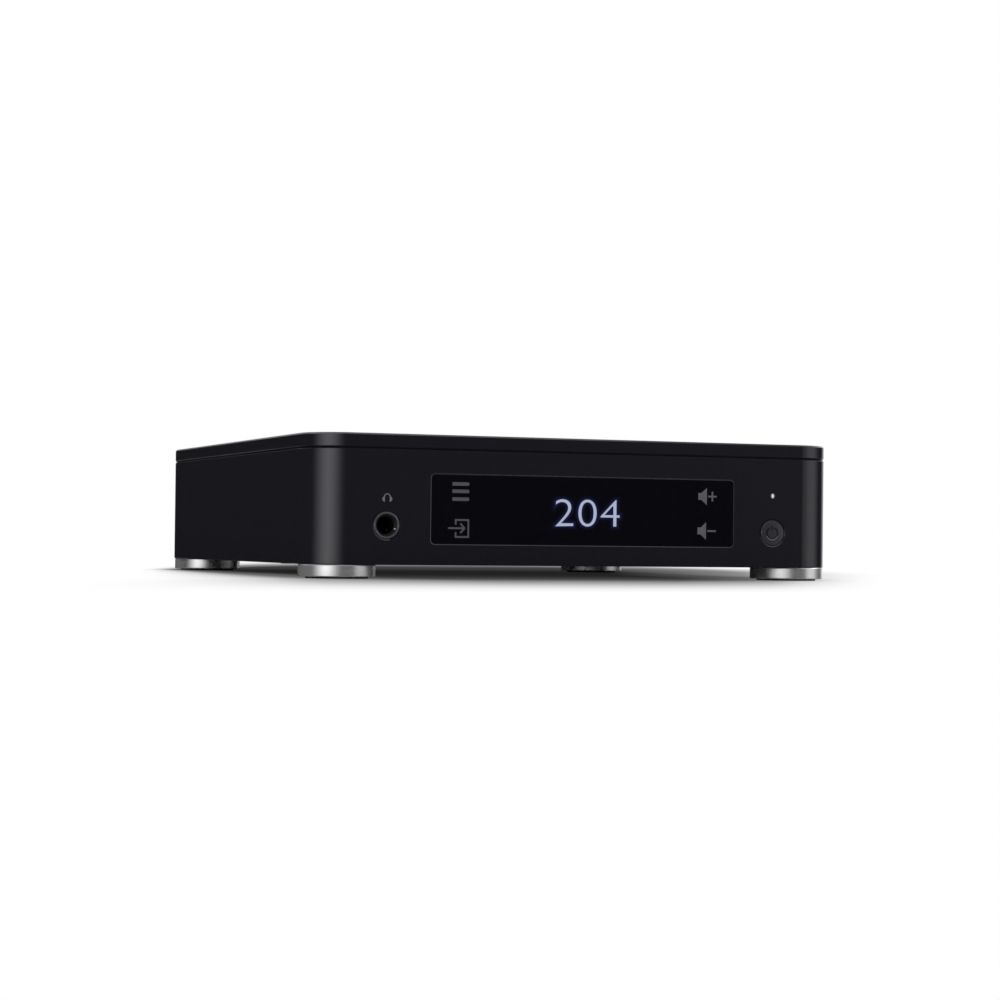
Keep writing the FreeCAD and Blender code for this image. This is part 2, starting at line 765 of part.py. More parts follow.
def feet():
    """Four turned feet under the corners, each on a thin rubber pad."""
    section = [
        ("0", "pad_thickness"),
        ("foot_radius", "pad_thickness"),
        ("foot_radius", "foot_height"),
        ("0", "foot_height"),
    ]
    discs = []
    pads = []
    for index, (side, end) in enumerate(CORNERS):
        x = f"{side} * {FOOT_X}"
        y = f"{end} * {FOOT_Y}"
        discs.append(turned(f"turned_foot_{index}", "up", x, y, "0", section))
        pads.append(rod(f"rubber_pad_{index}", "up", x, y, "0", "pad_radius", "pad_thickness"))
    deliver(group("foot_set", discs), "feet")
    deliver(group("pad_set", pads), "foot_pads")


# Front


def window():
    """The dark lens and the tape that holds it in its rebate."""
    body = new_body("window_lens")
    face = sketch_on(body, "lens_outline", "XZ_Plane", "case_depth / 2 - lens_recess")
    window_outline(face, "lens_clearance")
    pad(body, face, "lens_thickness", against_normal=True)
    deliver(body, "window_lens")
    tape = new_body("window_tape")
    band = sketch_on(tape, "tape_outline", "XZ_Plane", "case_depth / 2 - lens_recess - lens_thickness")
    clipped_outline(band, "(2 * lens_clearance)", "window_round * 0.6")
    rectangle(band, *window_sides("window_ledge"))
    pad(tape, band, "tape_thickness", against_normal=True)
    deliver(tape, "window_tape")


def front_electronics():
    """The front board with the display, touch pads, lamp and switch on it."""
    width = "front_board_right - front_board_left"
    middle = "(front_board_left + front_board_right) / 2"
    board = block("front_board_blank", middle, BOARD_FACE, FRONT_BOARD_LOW, width, "board_thickness",
                  "front_board_height")
    deliver(board, "front_board")

    lens_back = "(-case_depth / 2 + lens_recess + lens_thickness)"
    glass_y = f"({lens_back} + display_gap)"
    low = "window_z - display_height / 2"
    glass = block("display_glass_plate", "0", glass_y, f"{low} + display_rim / 2",
                  "display_width - display_rim", "display_glass", "display_height - display_rim")
    carrier_y = f"({glass_y} + display_glass)"
    carrier = block("display_carrier", "0", carrier_y, low, "display_width", f"{BOARD_FACE} - {carrier_y}",
                    "display_height")
    deliver(joined("display_stack", [carrier, glass]), "display_module")

    pads = []
    for side in (-1, 1):
        for level in (-1, 1):
            z = f"touch_z + {level} * touch_pitch / 2 - touch_size / 2"
            name = f"touch_pad_{side + 1}{level + 1}"
            depth = f"{BOARD_FACE} - {glass_y}"
            pads.append(block(name, f"{side} * touch_x", glass_y, z, "touch_size", depth, "touch_size"))
    deliver(group("touch_pad_set", pads), "touch_pads")

    lamp_y = f"{BOARD_FACE} - lamp_height"
    lamp = block("lamp_chip", "control_x", lamp_y, "lamp_z - lamp_size / 2", "lamp_size", "lamp_height",
                 "lamp_size")
    deliver(lamp, "standby_led")
    pipe = rod("pipe_rod", "back", "control_x", FRONT, "lamp_z", "pipe_radius",
               "wall + board_gap - lamp_height - pipe_gap")
    collar = block("pipe_collar", "control_x", INNER_FRONT, "lamp_z - pipe_flange", "2 * pipe_flange",
                   "flange_thickness", "2 * pipe_flange")
    deliver(joined("pipe_with_collar", [pipe, collar]), "light_pipe")


def power_switch():
    """The sprung button, and the switch that it presses."""
    back = "-(flange_gap + flange_thickness)"
    tip = "-(board_gap - switch_height - plunger_reach)"
    cap = [
        ("0", "wall + button_proud"),
        ("button_radius - button_round", "wall + button_proud"),
        ("button_radius", "wall + button_proud - button_round"),
        ("button_radius", "-flange_gap"),
        ("flange_radius", "-flange_gap"),
        ("flange_radius", back),
        ("stem_radius", back),
        ("stem_radius", tip),
        ("0", tip),
    ]
    deliver(turned("turned_button", "front", "control_x", INNER_FRONT, "button_z", cap), "power_button")
    end = "-(board_gap - switch_height + plunger_depth)"
    plunger = [("0", tip), ("plunger_radius", tip), ("plunger_radius", end), ("0", end)]
    knob = turned("turned_plunger", "front", "control_x", INNER_FRONT, "button_z", plunger)
    deliver(knob, "switch_plunger")
    face = f"({BOARD_FACE} - switch_height)"
    shell = block("switch_block", "control_x", face, "button_z - switch_size / 2", "switch_size",
                  "switch_height", "switch_size")
    radius = "plunger_radius + plunger_clearance"
    depth = "plunger_depth + button_travel + 0.4"
    well = rod("switch_well", "back", "control_x", face, "button_z", radius, depth)
    deliver(without("switch_shell", shell, [well]), "switch_body")


def headphone_socket():
    """The socket body with its bush and bore, three contact leaves, and the small board under it."""
    shell = block("jack_block", "jack_x", INNER_FRONT, "jack_z - jack_height / 2", "jack_width",
                  "jack_depth", "jack_height")
    tip = "(-case_depth / 2 + bush_recess)"
    bush = rod("jack_bush", "back", "jack_x", tip, "jack_z", "bush_radius", "wall - bush_recess")
    bore = rod("jack_bore", "back", "jack_x", tip, "jack_z", "bore_radius", "bore_depth")
    lead = cone("jack_lead", "back", "jack_x", tip, "jack_z", "bore_radius + bore_lead", "bore_radius",
                "bore_lead")
    slot_reach = "(jack_width / 2 - bore_radius / 2)"
    leaf_reach = "(jack_width / 2 - bore_radius - leaf_clearance / 2)"
    slots = []
    leaves = []
    for index in range(3):
        y = f"{INNER_FRONT} + leaf_start + {index} * leaf_pitch"
        z = "jack_z - leaf_drop - leaf_width / 2"
        outside = "jack_x + jack_width / 2"
        size = (slot_reach, "leaf_length", "leaf_width")
        slots.append(block(f"jack_slot_{index}", f"{outside} - {slot_reach} / 2", y, z, *size))
        leaf_y = f"{y} + leaf_clearance"
        leaf_z = f"{z} + leaf_clearance"
        size = (leaf_reach, "leaf_length - 2 * leaf_clearance", "leaf_width - 2 * leaf_clearance")
        leaves.append(block(f"jack_leaf_{index}", f"{outside} - {leaf_reach} / 2", leaf_y, leaf_z, *size))
    solid = joined("jack_shell", [shell, bush])
    deliver(without("jack_socket", solid, [bore, lead] + slots), "headphone_socket")
    deliver(group("jack_leaf_set", leaves), "headphone_contacts")
    board = block("jack_board", "jack_x", INNER_FRONT, "jack_z - jack_height / 2 - board_thickness",
                  "headphone_board_width", JACK_BOARD_DEPTH, "board_thickness")
    deliver(board, "headphone_board")


def ribbons():
    """Two flat cables: an arch from the headphone board, and a bent strip from the front board."""
    bend = "headphone_ribbon_bend"
    start = f"({INNER_FRONT} + {JACK_BOARD_DEPTH} - 1.2)"
    end = f"({MAIN_FRONT} + 1.2)"
    headphone_top = "(jack_z - jack_height / 2)"
    strip = new_body("headphone_strip")
    side = sketch_on(strip, "headphone_strip_side", "YZ_Plane", "jack_x - headphone_ribbon_width / 2")
    thick = "ribbon_thickness"
    crest = f"{headphone_top} + {bend}"
    points = [
        (f"{start}", headphone_top),
        (f"{start}", f"{crest} - 1.5"),
        (f"{start} + 1.5", crest),
        (f"{end} - 1.5", crest),
        (f"{end}", f"{crest} - 1.5"),
        (f"{end}", BOARD_TOP),
        (f"{end} - {thick}", BOARD_TOP),
        (f"{end} - {thick}", f"{crest} - 1.5 - {thick} * 0.4"),
        (f"{end} - 1.5 - {thick} * 0.4", f"{crest} - {thick}"),
        (f"{start} + 1.5 + {thick} * 0.4", f"{crest} - {thick}"),
        (f"{start} + {thick}", f"{crest} - 1.5 - {thick} * 0.4"),
        (f"{start} + {thick}", headphone_top),
    ]
    outline(side, points)
    pad(strip, side, "headphone_ribbon_width")
    deliver(strip, "headphone_ribbon")

    back = f"({BOARD_FACE} + board_thickness)"
    landing = f"({MAIN_FRONT} + display_ribbon_lead)"
    turn = f"({landing} - display_ribbon_bend)"
    level = "display_ribbon_z"
    flat = block("display_strip_flat", "display_ribbon_x", back, f"{level} - {thick}",
                 "display_ribbon_width", f"{turn} - {back}", thick)
    outer = rod("display_strip_outer", "right", "display_ribbon_x - display_ribbon_width / 2", turn,
                f"{level} - display_ribbon_bend", "display_ribbon_bend", "display_ribbon_width")
    inner = rod("display_strip_inner", "right", "display_ribbon_x - display_ribbon_width / 2", turn,
                f"{level} - display_ribbon_bend", f"display_ribbon_bend - {thick}", "display_ribbon_width")
    quarter = block("display_strip_quarter", "display_ribbon_x", turn, f"{level} - display_ribbon_bend",
                    "display_ribbon_width", "display_ribbon_bend", "display_ribbon_bend")
    arch = doc.addObject("Part::MultiCommon", "display_strip_arch")
    arch.Shapes = [without("display_strip_ring", outer, [inner]), quarter]
    drop = block("display_strip_drop", "display_ribbon_x", f"{landing} - {thick}", BOARD_TOP,
                 "display_ribbon_width", thick, f"{level} - display_ribbon_bend - {BOARD_TOP}")
    deliver(joined("display_strip", [flat, arch, drop]), "display_ribbon")


# Main board


def main_board():
    """The board on its six hexagonal standoffs."""
    blank = block("main_blank", "0", MAIN_FRONT, BOARD_LOW, "board_width", MAIN_DEPTH,
                  "board_thickness")
    deliver(blank, "main_board")
    posts = []
    for side in (-1, 1):
        for row in (-1, 0, 1):
            x = f"{side} * standoff_x"
            y = f"{MAIN_MIDDLE} + {row} * {STANDOFF_SPACING}"
            posts.append(hexagon(f"standoff_{side + 1}{row + 1}", x, y, PLATE_TOP, "standoff_radius",
                                 "standoff_height"))
    deliver(group("standoff_set", posts), "board_standoffs")


def board_pieces():
    """The soldered parts, each kind laid out on its own grid."""
    for piece in BOARD_PIECES:
        across, back = COUNTS.get(piece, (1, 1))
        solids = []
        for column in range(across):
            for row in range(back):
                x = f"{piece}_x" + (f" + {column} * {piece}_pitch_x" if column else "")
                y = f"{MAIN_MIDDLE} + {piece}_y - {piece}_depth / 2"
                y += f" + {row} * {piece}_pitch_y" if row else ""
                size = (f"{piece}_width", f"{piece}_depth", f"{piece}_height")
                solids.append(block(f"{piece}_{column}{row}", x, y, BOARD_TOP, *size))
        deliver(group(piece + "_set", solids), piece)

    cans = []
    for row in range(2):
        y = f"{MAIN_MIDDLE} + can_y + {row} * can_pitch"
        cans.append(rod(f"can_{row}", "up", "can_x", y, BOARD_TOP, "can_radius", "can_height"))
    deliver(group("can_set", cans), "reservoir_capacitors")


def heat_sink():
    """An extruded comb with three regulators clamped to its flat side."""
    y = f"({MAIN_MIDDLE} + sink_y)"
    spine = block("sink_spine", "sink_x", f"{y} - sink_length / 2", BOARD_TOP, "sink_base", "sink_length",
                  "sink_height")
    fins = []
    for index in range(-5, 6):
        fin_y = f"{y} + {index} * sink_fin_pitch - sink_fin / 2"
        fin_x = "sink_x + sink_base / 2 + sink_fin_reach / 2"
        fins.append(block(f"sink_fin_{index + 5}", fin_x, fin_y, BOARD_TOP, "sink_fin_reach", "sink_fin",
                          "sink_height"))
    deliver(joined("sink_comb", [spine] + fins), "heat_sink")
    packages = []
    for index in (-1, 0, 1):
        x = "sink_x - sink_base / 2 - regulator_thickness / 2"
        reg_y = f"{y} + {index} * regulator_pitch - regulator_width / 2"
        packages.append(block(f"regulator_{index + 1}", x, reg_y, BOARD_TOP, "regulator_thickness",
                              "regulator_width", "regulator_height"))
    deliver(group("regulator_set", packages), "voltage_regulators")


# Rear sockets

RCA_PLACES = [
    ("line_out_x", RCA_HIGH),
    ("line_out_x", "rca_low_z"),
    ("coaxial_x", "rca_low_z"),
]
RCA_COLOURS = ["white", "red", "orange"]


def phono_sockets():
    """Three phono sockets: a plated shell on the panel, round an insulator from a moulded housing."""
    shell = [(RCA_INSIDE, "0"), ("rca_radius", "0"), ("rca_radius", "rca_reach"), (RCA_INSIDE, "rca_reach")]
    root = "-panel_thickness"
    face = "(rca_reach - rca_recess)"
    insulator = [
        ("0", root),
        (f"{RCA_INSIDE} - rca_gap", root),
        (f"{RCA_INSIDE} - rca_gap", face),
        ("rca_pin_radius", face),
        ("rca_pin_radius", f"{face} - rca_pin_depth"),
        ("0", f"{face} - rca_pin_depth"),
    ]
    shells = []
    for index, ((x, z), colour) in enumerate(zip(RCA_PLACES, RCA_COLOURS)):
        shells.append(turned(f"rca_shell_{index}", "back", x, REAR, z, shell))
        filling = turned(f"rca_insulator_{index}", "back", x, REAR, z, insulator)
        deliver(filling, f"rca_insulator_{colour}")
    deliver(group("rca_shell_set", shells), "rca_shells")
    housings = []
    for x, top in (("line_out_x", RCA_HIGH), ("coaxial_x", "rca_low_z")):
        height = f"{top} + rca_housing_roof - {BOARD_TOP}"
        housings.append(block(f"rca_housing_{x}", x, f"{PANEL_SEAT} - rca_housing_depth", BOARD_TOP,
                              "rca_housing_width", "rca_housing_depth", height))
    deliver(group("rca_housing_set", housings), "rca_housings")


def optical_socket():
    """The optical input: a moulded body with a chamber, and a shutter hung on a pin."""
    face = "(case_depth / 2 + optical_proud)"
    shell = block("optical_block", "optical_x", f"{REAR} - optical_depth", BOARD_TOP, "optical_width",
                  "optical_depth + optical_proud", f"{OPTICAL_TOP} - {BOARD_TOP}")
    low = "optical_z - optical_mouth / 2"
    mouth = block("optical_mouth_space", "optical_x", f"{face} - optical_cavity", low, "optical_mouth",
                  "optical_cavity", "optical_mouth")
    chamber = block("optical_chamber", "optical_x", f"{face} - optical_cavity", low, "optical_mouth",
                    "optical_cavity - optical_lip", f"{CHAMBER_TOP} - ({low})")
    span = "(optical_mouth + 2 * shutter_pin_bite)"
    start = f"optical_x - {span} / 2"
    radius = "shutter_pin_radius + shutter_pin_clearance"
    bore = rod("optical_pin_bore", "right", start, HINGE_Y, HINGE_Z, radius, span)
    deliver(without("optical_shell", shell, [mouth, chamber, bore]), "optical_socket")
    pin_span = f"({span} - 2 * shutter_pin_clearance)"
    pin_start = f"optical_x - {pin_span} / 2"
    pin = rod("optical_pin", "right", pin_start, HINGE_Y, HINGE_Z, "shutter_pin_radius", pin_span)
    deliver(pin, "shutter_pin")
    width = "(optical_mouth - 2 * shutter_clearance)"
    edge = f"optical_x - {width} / 2"
    barrel = rod("shutter_barrel", "right", edge, HINGE_Y, HINGE_Z, "barrel_radius", width)
    flap_low = f"({low} + shutter_clearance)"
    flap = block("shutter_flap", "optical_x", f"{HINGE_Y} - shutter_thickness / 2", flap_low, width,
                 "shutter_thickness", f"{HINGE_Z} - {flap_low}")
    hole = rod("shutter_hole", "right", edge, HINGE_Y, HINGE_Z, radius, width)
    deliver(without("shutter_leaf", joined("shutter_solid", [barrel, flap]), [hole]), "optical_shutter")


def usb_socket():
    """The square USB input: a folded shell with bevelled upper corners round a tongue."""
    body = new_body("usb_shell")
    section = sketch_on(body, "usb_section", "XZ_Plane", "-case_depth / 2 - usb_proud")
    for inset, bevel in (("0", "usb_bevel"), ("usb_wall", "(usb_bevel - usb_wall * 0.4)")):
        left = f"usb_x - usb_width / 2 + {inset}"
        right = f"usb_x + usb_width / 2 - {inset}"
        low = f"usb_z - usb_height / 2 + {inset}"
        high = f"usb_z + usb_height / 2 - {inset}"
        points = [(left, low), (right, low), (right, f"{high} - {bevel}"), (f"{right} - {bevel}", high)]
        points += [(f"{left} + {bevel}", high), (left, f"{high} - {bevel}")]
        outline(section, points)
    pad(body, section, "usb_depth")
    deliver(body, "usb_shell")
    face = "(case_depth / 2 + usb_proud)"
    rear = f"({face} - usb_depth)"
    back_height = "usb_height - 2 * usb_wall - usb_bevel"
    back_low = "usb_z - usb_height / 2 + usb_wall + usb_fit"
    back = block("usb_back", "usb_x", rear, back_low, "usb_width - 2 * usb_wall - 2 * usb_fit",
                 "usb_depth - usb_plug_depth", back_height)
    tongue = block("usb_blade", "usb_x", f"{face} - usb_plug_depth", "usb_z - usb_tongue_height / 2",
                   "usb_tongue_width", "usb_tongue_length", "usb_tongue_height")
    deliver(joined("usb_insert", [back, tongue]), "usb_tongue")


def supply_socket():
    """The low voltage input: a moulded body with a bush through the panel, and its centre pin."""
    shell = block("supply_block", "supply_x", f"{PANEL_SEAT} - supply_depth", BOARD_TOP, "supply_width",
                  "supply_depth", "supply_height")
    bush = rod("supply_bush", "back", "supply_x", PANEL_SEAT, "supply_z", "supply_bush_radius",
               "panel_thickness")
    bore = rod("supply_bore", "front", "supply_x", REAR, "supply_z", "supply_bore_radius",
               "supply_bore_depth")
    deliver(without("supply_shell", joined("supply_solid", [shell, bush]), [bore]), "supply_socket")
    pin = rod("supply_centre", "front", "supply_x", f"{REAR} - supply_pin_recess", "supply_z",
              "supply_pin_radius", "supply_bore_depth - supply_pin_recess")
    deliver(pin, "supply_pin")


case_frame()
lid()
base_plate()
rear_panel()
feet()
window()
front_electronics()
power_switch()
headphone_socket()
ribbons()
main_board()
board_pieces()
heat_sink()
phono_sockets()
optical_socket()
usb_socket()
supply_socket()
doc.recompute()

# Every object is checked before anything is written
faults = [f"{item.Label} {item.State}" for item in doc.Objects if {"Invalid", "Error"} & set(item.State)]
faults += [item.Label for item in parts if item.Shape.isNull() or not item.Shape.isValid()]
if faults:
    raise ValueError("failed objects: " + ", ".join(faults))

os.makedirs("parts", exist_ok=True)
for item in parts:
    item.Shape.exportStep(f"parts/{item.Label}.step")
print(len(parts), "sub-parts written")
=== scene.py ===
import json
import math

import bmesh
import bpy
from mathutils import Matrix, Vector


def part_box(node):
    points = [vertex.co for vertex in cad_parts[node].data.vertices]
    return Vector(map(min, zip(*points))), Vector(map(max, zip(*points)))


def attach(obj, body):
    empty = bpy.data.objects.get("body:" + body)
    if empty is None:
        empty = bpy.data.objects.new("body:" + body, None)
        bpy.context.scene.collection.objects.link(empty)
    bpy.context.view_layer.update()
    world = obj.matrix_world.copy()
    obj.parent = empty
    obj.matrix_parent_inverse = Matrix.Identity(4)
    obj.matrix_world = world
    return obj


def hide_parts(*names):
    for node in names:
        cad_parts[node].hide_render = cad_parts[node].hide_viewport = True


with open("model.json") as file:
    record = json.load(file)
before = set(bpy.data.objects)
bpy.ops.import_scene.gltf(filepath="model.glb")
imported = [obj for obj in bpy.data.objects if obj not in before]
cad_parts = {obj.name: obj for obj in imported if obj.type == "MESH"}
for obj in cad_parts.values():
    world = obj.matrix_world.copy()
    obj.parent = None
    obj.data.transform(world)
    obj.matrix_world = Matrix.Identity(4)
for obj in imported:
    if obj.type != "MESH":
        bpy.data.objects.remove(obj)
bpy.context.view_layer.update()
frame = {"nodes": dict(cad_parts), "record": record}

# The looks of a half-width DAC preamplifier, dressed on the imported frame. Lengths are in metres.

MM = 0.001
WELD = 0.0005 * MM

# Places read off the frame
case_low, case_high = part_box("case_frame")
lens_low, lens_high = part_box("window_lens")
button_low, button_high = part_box("power_button")
lamp_low, lamp_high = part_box("light_pipe")
jack_low, jack_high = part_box("headphone_socket")
plate_low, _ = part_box("base_plate")
panel_low, panel_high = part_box("rear_panel")

FRONT_Y = case_low.y
LENS_Y = lens_low.y
BUTTON_X = (button_low.x + button_high.x) / 2
BUTTON_Z = (button_low.z + button_high.z) / 2
LAMP_X = (lamp_low.x + lamp_high.x) / 2
LAMP_Z = (lamp_low.z + lamp_high.z) / 2
JACK_X = (jack_low.x + jack_high.x) / 2
JACK_Z = (jack_low.z + jack_high.z) / 2
JACK_Y = jack_low.y

# Sizes of the printed signs and the lit number; angles are in degrees from the right
INK_DEPTH = 0.02 * MM
BARBS_APART, EARS_PROUD = 0.1, 0.2  # in depths of ink, to keep crossing faces out of one plane
MENU_LEFT, MENU_RIGHT = -53.45 * MM, -46.80 * MM
MENU_LEVELS = (34.95 * MM, 32.27 * MM, 29.40 * MM)
MENU_THICKNESS = 1.3 * MM
INPUT_LEFT, INPUT_RIGHT = -52.36 * MM, -46.76 * MM
INPUT_LOW, INPUT_HIGH = 15.22 * MM, 22.11 * MM
INPUT_LINE = 0.66 * MM
INPUT_LEG = 1.75 * MM
ARROW_TAIL, ARROW_TIP = -55.01 * MM, -48.50 * MM
ARROW_Z = 18.75 * MM
ARROW_HEAD = 1.75 * MM
SPEAKER_WIDTH, SPEAKER_HEIGHT = 3.66 * MM, 6.65 * MM
SPEAKER_BACK_WIDTH, SPEAKER_BACK_HEIGHT = 1.34 * MM, 2.65 * MM
LOUDER_X, LOUDER_Z = 46.6 * MM, 32.12 * MM
QUIETER_X, QUIETER_Z = 46.35 * MM, 18.93 * MM
MARK_START, MARK_LENGTH, MARK_THICKNESS = 4.15 * MM, 3.7 * MM, 0.66 * MM
NUMBER = "204"
NUMBER_SPACING = 1.04
NUMBER_LEFT, NUMBER_RIGHT = -12.8 * MM, 13.97 * MM
NUMBER_LOW, NUMBER_HIGH = 19.8 * MM, 30.27 * MM
NUMBER_WEIGHT = -0.24 * MM
NUMBER_LIFT, LAYER_DROP = 1.6, 0.14  # in depths of ink
GLOW_STEPS = 10
GLOW_REACH = 2.0 * MM
GLOW_FADE = 2.6
PHONES_X, PHONES_Z = -78.55 * MM, 28.0 * MM
ARCH_HALF, ARCH_RISE, ARCH_LINE = 1.42 * MM, 1.62 * MM, 0.38 * MM
ARCH_LEVEL = 0.72  # of an ear piece's height
EAR_INNER, EAR_WIDTH, EAR_HEIGHT = 0.88 * MM, 1.05 * MM, 1.95 * MM
POWER_SHIFT_X, POWER_SHIFT_Z = -0.3 * MM, -0.1 * MM
POWER_RING, POWER_LINE = 2.3 * MM, 0.46 * MM
POWER_START, POWER_END = 118, 422
POWER_BAR_LOW, POWER_BAR_HIGH = 1.2 * MM, 2.9 * MM
# Shape of the pale crescent painted as a highlight on the lower wall of the power sign's groove
GROOVE_OVERLAP, GROOVE_WIDTH, GROOVE_HEIGHT = 0.1 * MM, 0.14 * MM, 0.22 * MM
GROOVE_START, GROOVE_END = 205, 335
POWER_SUNK, GROOVE_SUNK = 0.008 * MM, 0.002 * MM
TRIM_SIDE, TRIM_TOP = 0.25 * MM, 0.42 * MM
TRIM_SLACK, TRIM_SUNK, TRIM_PROUD = 0.06 * MM, 0.005 * MM, 0.004 * MM
WINDOW_CORNER = 1.75 * MM

# Turned pieces, painted highlights on the holes' lips, and a dark ring of painted shade in the seam
FOOT_RADIUS, FOOT_EDGE = 14.2 * MM, 0.35 * MM
FOOT_CUT, FOOT_HOLD = 0.3, 1.3  # of its edge
FOOT_CORE, FOOT_CORE_SUNK, FOOT_CORE_SLOPE = 11.4 * MM, 0.02 * MM, 0.2 * MM
BUTTON_RADIUS, BUTTON_DOME, BUTTON_EDGE = 4.9 * MM, 0.25 * MM, 0.26 * MM
BUTTON_ROUND = ((0.2, 0.85), (0, 1.1))  # in from the side and back from the face, of its edge
BUTTON_PROUD = 0.4 * MM
DOME_STEPS = 8
FLANGE_RADIUS, FLANGE_THICKNESS, FLANGE_ROOM = 6.2 * MM, 1.0 * MM, 0.05 * MM
STEM_RADIUS = 1.6 * MM
WALL = 3.0 * MM
RING_OUTER, RING_INNER, RING_PROUD, RING_SEAT = 5.0 * MM, 4.0 * MM, 0.6 * MM, 0.1 * MM
TIP_RADIUS = 0.55 * MM
TIP_ASIDE, TIP_INSIDE, TIP_BELOW = 3.35 * MM, 0.45 * MM, 1.35 * MM
SLEEVE_OUTER, SLEEVE_INNER, SLEEVE_DEPTH = 1.62 * MM, 1.3 * MM, 7.3 * MM
SLEEVE_PROUD, SLEEVE_CHAMFER = 0.02 * MM, 0.1 * MM
HOLE_RADIUS = 5.2 * MM
# Width of the highlight painted round a hole's lower edge
LIP, LIP_SIDE = 0.24 * MM, 0.35  # the second is the share that is left at the sides
LID_HEIGHT = 5.1 * MM
CASE_CORNER = 16 * MM
# A dark ring of painted shade in the seam: how far it is set back, and its width
SEAM_SHADE_INSET, SEAM_SHADE_WIDTH = 0.4 * MM, 1.2 * MM

# Screws: radius and height of each head, and what is cut into it, as shares of its radius or height
PANEL_SCREW, BASE_SCREW = (2.3 * MM, 1.1 * MM), (2.6 * MM, 0.3 * MM)
SOCKET_RIM, SOCKET_REACH = 0.32, 0.46  # of the radius
HEAD_ROUND, SOCKET_DEPTH = 0.42, 0.55  # of the height
PANEL_SCREW_EDGE, BASE_SCREW_EDGE, BASE_SCREW_REACH = 3.2 * MM, 6.5 * MM, 60 * MM

# Materials: the part of a noise that counts, the strength of relief, and the lamp's clear guide
NOISE_LOW, NOISE_HIGH = 0.3, 0.7
RELIEF = 0.6
SMOOTHEST = 0.02
GLOW_GRAIN, GLOW_UNEVEN = 500, 0.95
GUIDE_SCALE_X, GUIDE_SCALE_Z = 1350, 950
GUIDE_FADE_START, GUIDE_FADE_END = 0.45, 1.05
GUIDE_MIDDLE, GUIDE_RIM = 0.66, 0.015

# Camera
PHOTO_SIZE = 1000
SENSOR_WIDTH = 36
FOCAL_PIXELS = 2289.6
NEAR_CLIP = 0.01
CAMERA_PLACE = Vector((-343.9, -899.39, 14.37)) * MM
CAMERA_YAW = math.radians(21.493)
CAMERA_PITCH = math.radians(1.017)
CAMERA_ROLL = math.radians(0.64)

# Floor: levels of its painted shade by the distance back from the front wall, and by that out from a side
FLOOR_REACH = 30
SHADE_DEEP = ((-0.195, 1.0), (-0.167, 0.935), (-0.141, 0.84), (-0.112, 0.69), (-0.083, 0.51),
              (-0.05, 0.34), (-0.02, 0.215), (0.0, 0.18), (0.025, 0.11), (0.071, 0.05),
              (0.124, 0.031), (0.25, 0.035), (0.33, 0.055), (0.39, 0.12), (0.45, 0.35),
              (0.51, 0.7), (0.57, 1.0))
SHADE_SIDE = ((-0.045, 0.0), (-0.036, 0.04), (-0.021, 0.11), (-0.007, 0.19), (0.0, 0.24),
              (0.006, 0.36), (0.012, 0.52), (0.024, 0.75), (0.034, 0.88), (0.043, 0.97), (0.052, 1.0))
# How the shade's sides lean with the distance back, and how much wider or narrower they fade
LEFT_LEAN, LEFT_LEAN_BEHIND = 0.22, 0.5
LEFT_FADE, LEFT_FADE_FORWARD, LEFT_FADE_BEHIND = 0.22, 4.5, 3.5
RIGHT_LEAN, RIGHT_OUT, RIGHT_FARTHEST, RIGHT_BLEND = 0.57, 0.003, 0.15, 0.1
RIGHT_FADE, RIGHT_FADE_BACK, RIGHT_FADE_LEAST, RIGHT_FADE_MOST = 0.7, 6.0, 0.9, 1.5
RIGHT_FADE_IN = 0.034
# How the floor darkens close to the object, and the share of that which is left outside the shade
CONTACT_REACH, CONTACT_SAMPLES = 0.04, 12
CONTACT_CLOSED, CONTACT_OPEN, CONTACT_DARK = 0.35, 0.95, 0.5
CONTACT_OUTSIDE = 0.12

# Room that mirrors see: headings where a soft box starts, is full, starts to end and ends, and its level
ROOM_LEVEL, ROOM_LIGHT = 0.01, 0.78
SOFT_BOXES = ((-98, -46, -50, -2, 1.25), (28, 52, 62, 96, 0.58), (112, 128, 150, 166, 0.7))
# Soft steps of its heading or height in degrees, and the levels that they lead to
ABOVE_STEP = (7, 22)
UPPER_LEVEL = 0.25
SIDE_STEP, SIDE_END_STEP, SIDE_LEVEL = (5, 75), (160, 120), 0.9
REAR_STEP, REAR_LEVEL = (110, 150), 0.5
ZENITH_STEP, ZENITH_LEVEL = (35, 65), 0.45
BELOW_STEP, BELOW_LEVEL = (-7, -22), 0.12


# Materials


def graph(holder):
    return holder.node_tree.nodes, holder.node_tree.links


def principled(material):
    return material.node_tree.nodes["Principled BSDF"]


def object_noise(material, scale, detail=2.0, stretch=(1, 1, 1)):
    """A noise texture fixed to the piece, its scale given as lumps to the metre."""
    nodes, links = graph(material)
    place = nodes.new("ShaderNodeTexCoord")
    mapping = nodes.new("ShaderNodeMapping")
    mapping.inputs["Scale"].default_value = stretch
    noise = nodes.new("ShaderNodeTexNoise")
    noise.inputs["Scale"].default_value = scale
    noise.inputs["Detail"].default_value = detail
    links.new(place.outputs["Object"], mapping.inputs["Vector"])
    links.new(mapping.outputs["Vector"], noise.inputs["Vector"])
    return noise.outputs["Fac"]


def spread(material, source, low, high):
    """A number that runs between two values with a noise."""
    nodes, links = graph(material)
    ramp = nodes.new("ShaderNodeMapRange")
    ramp.inputs["From Min"].default_value = NOISE_LOW
    ramp.inputs["From Max"].default_value = NOISE_HIGH
    ramp.inputs["To Min"].default_value = low
    ramp.inputs["To Max"].default_value = high
    links.new(source, ramp.inputs["Value"])
    return ramp.outputs["Result"]


def tint(material, source, dark, light):
    """A colour that runs between two with a noise."""
    nodes, links = graph(material)
    ramp = nodes.new("ShaderNodeValToRGB")
    for stop, position, colour in zip(ramp.color_ramp.elements, (NOISE_LOW, NOISE_HIGH), (dark, light)):
        stop.position = position
        stop.color = (*colour, 1)
    links.new(source, ramp.inputs["Fac"])
    return ramp.outputs["Color"]


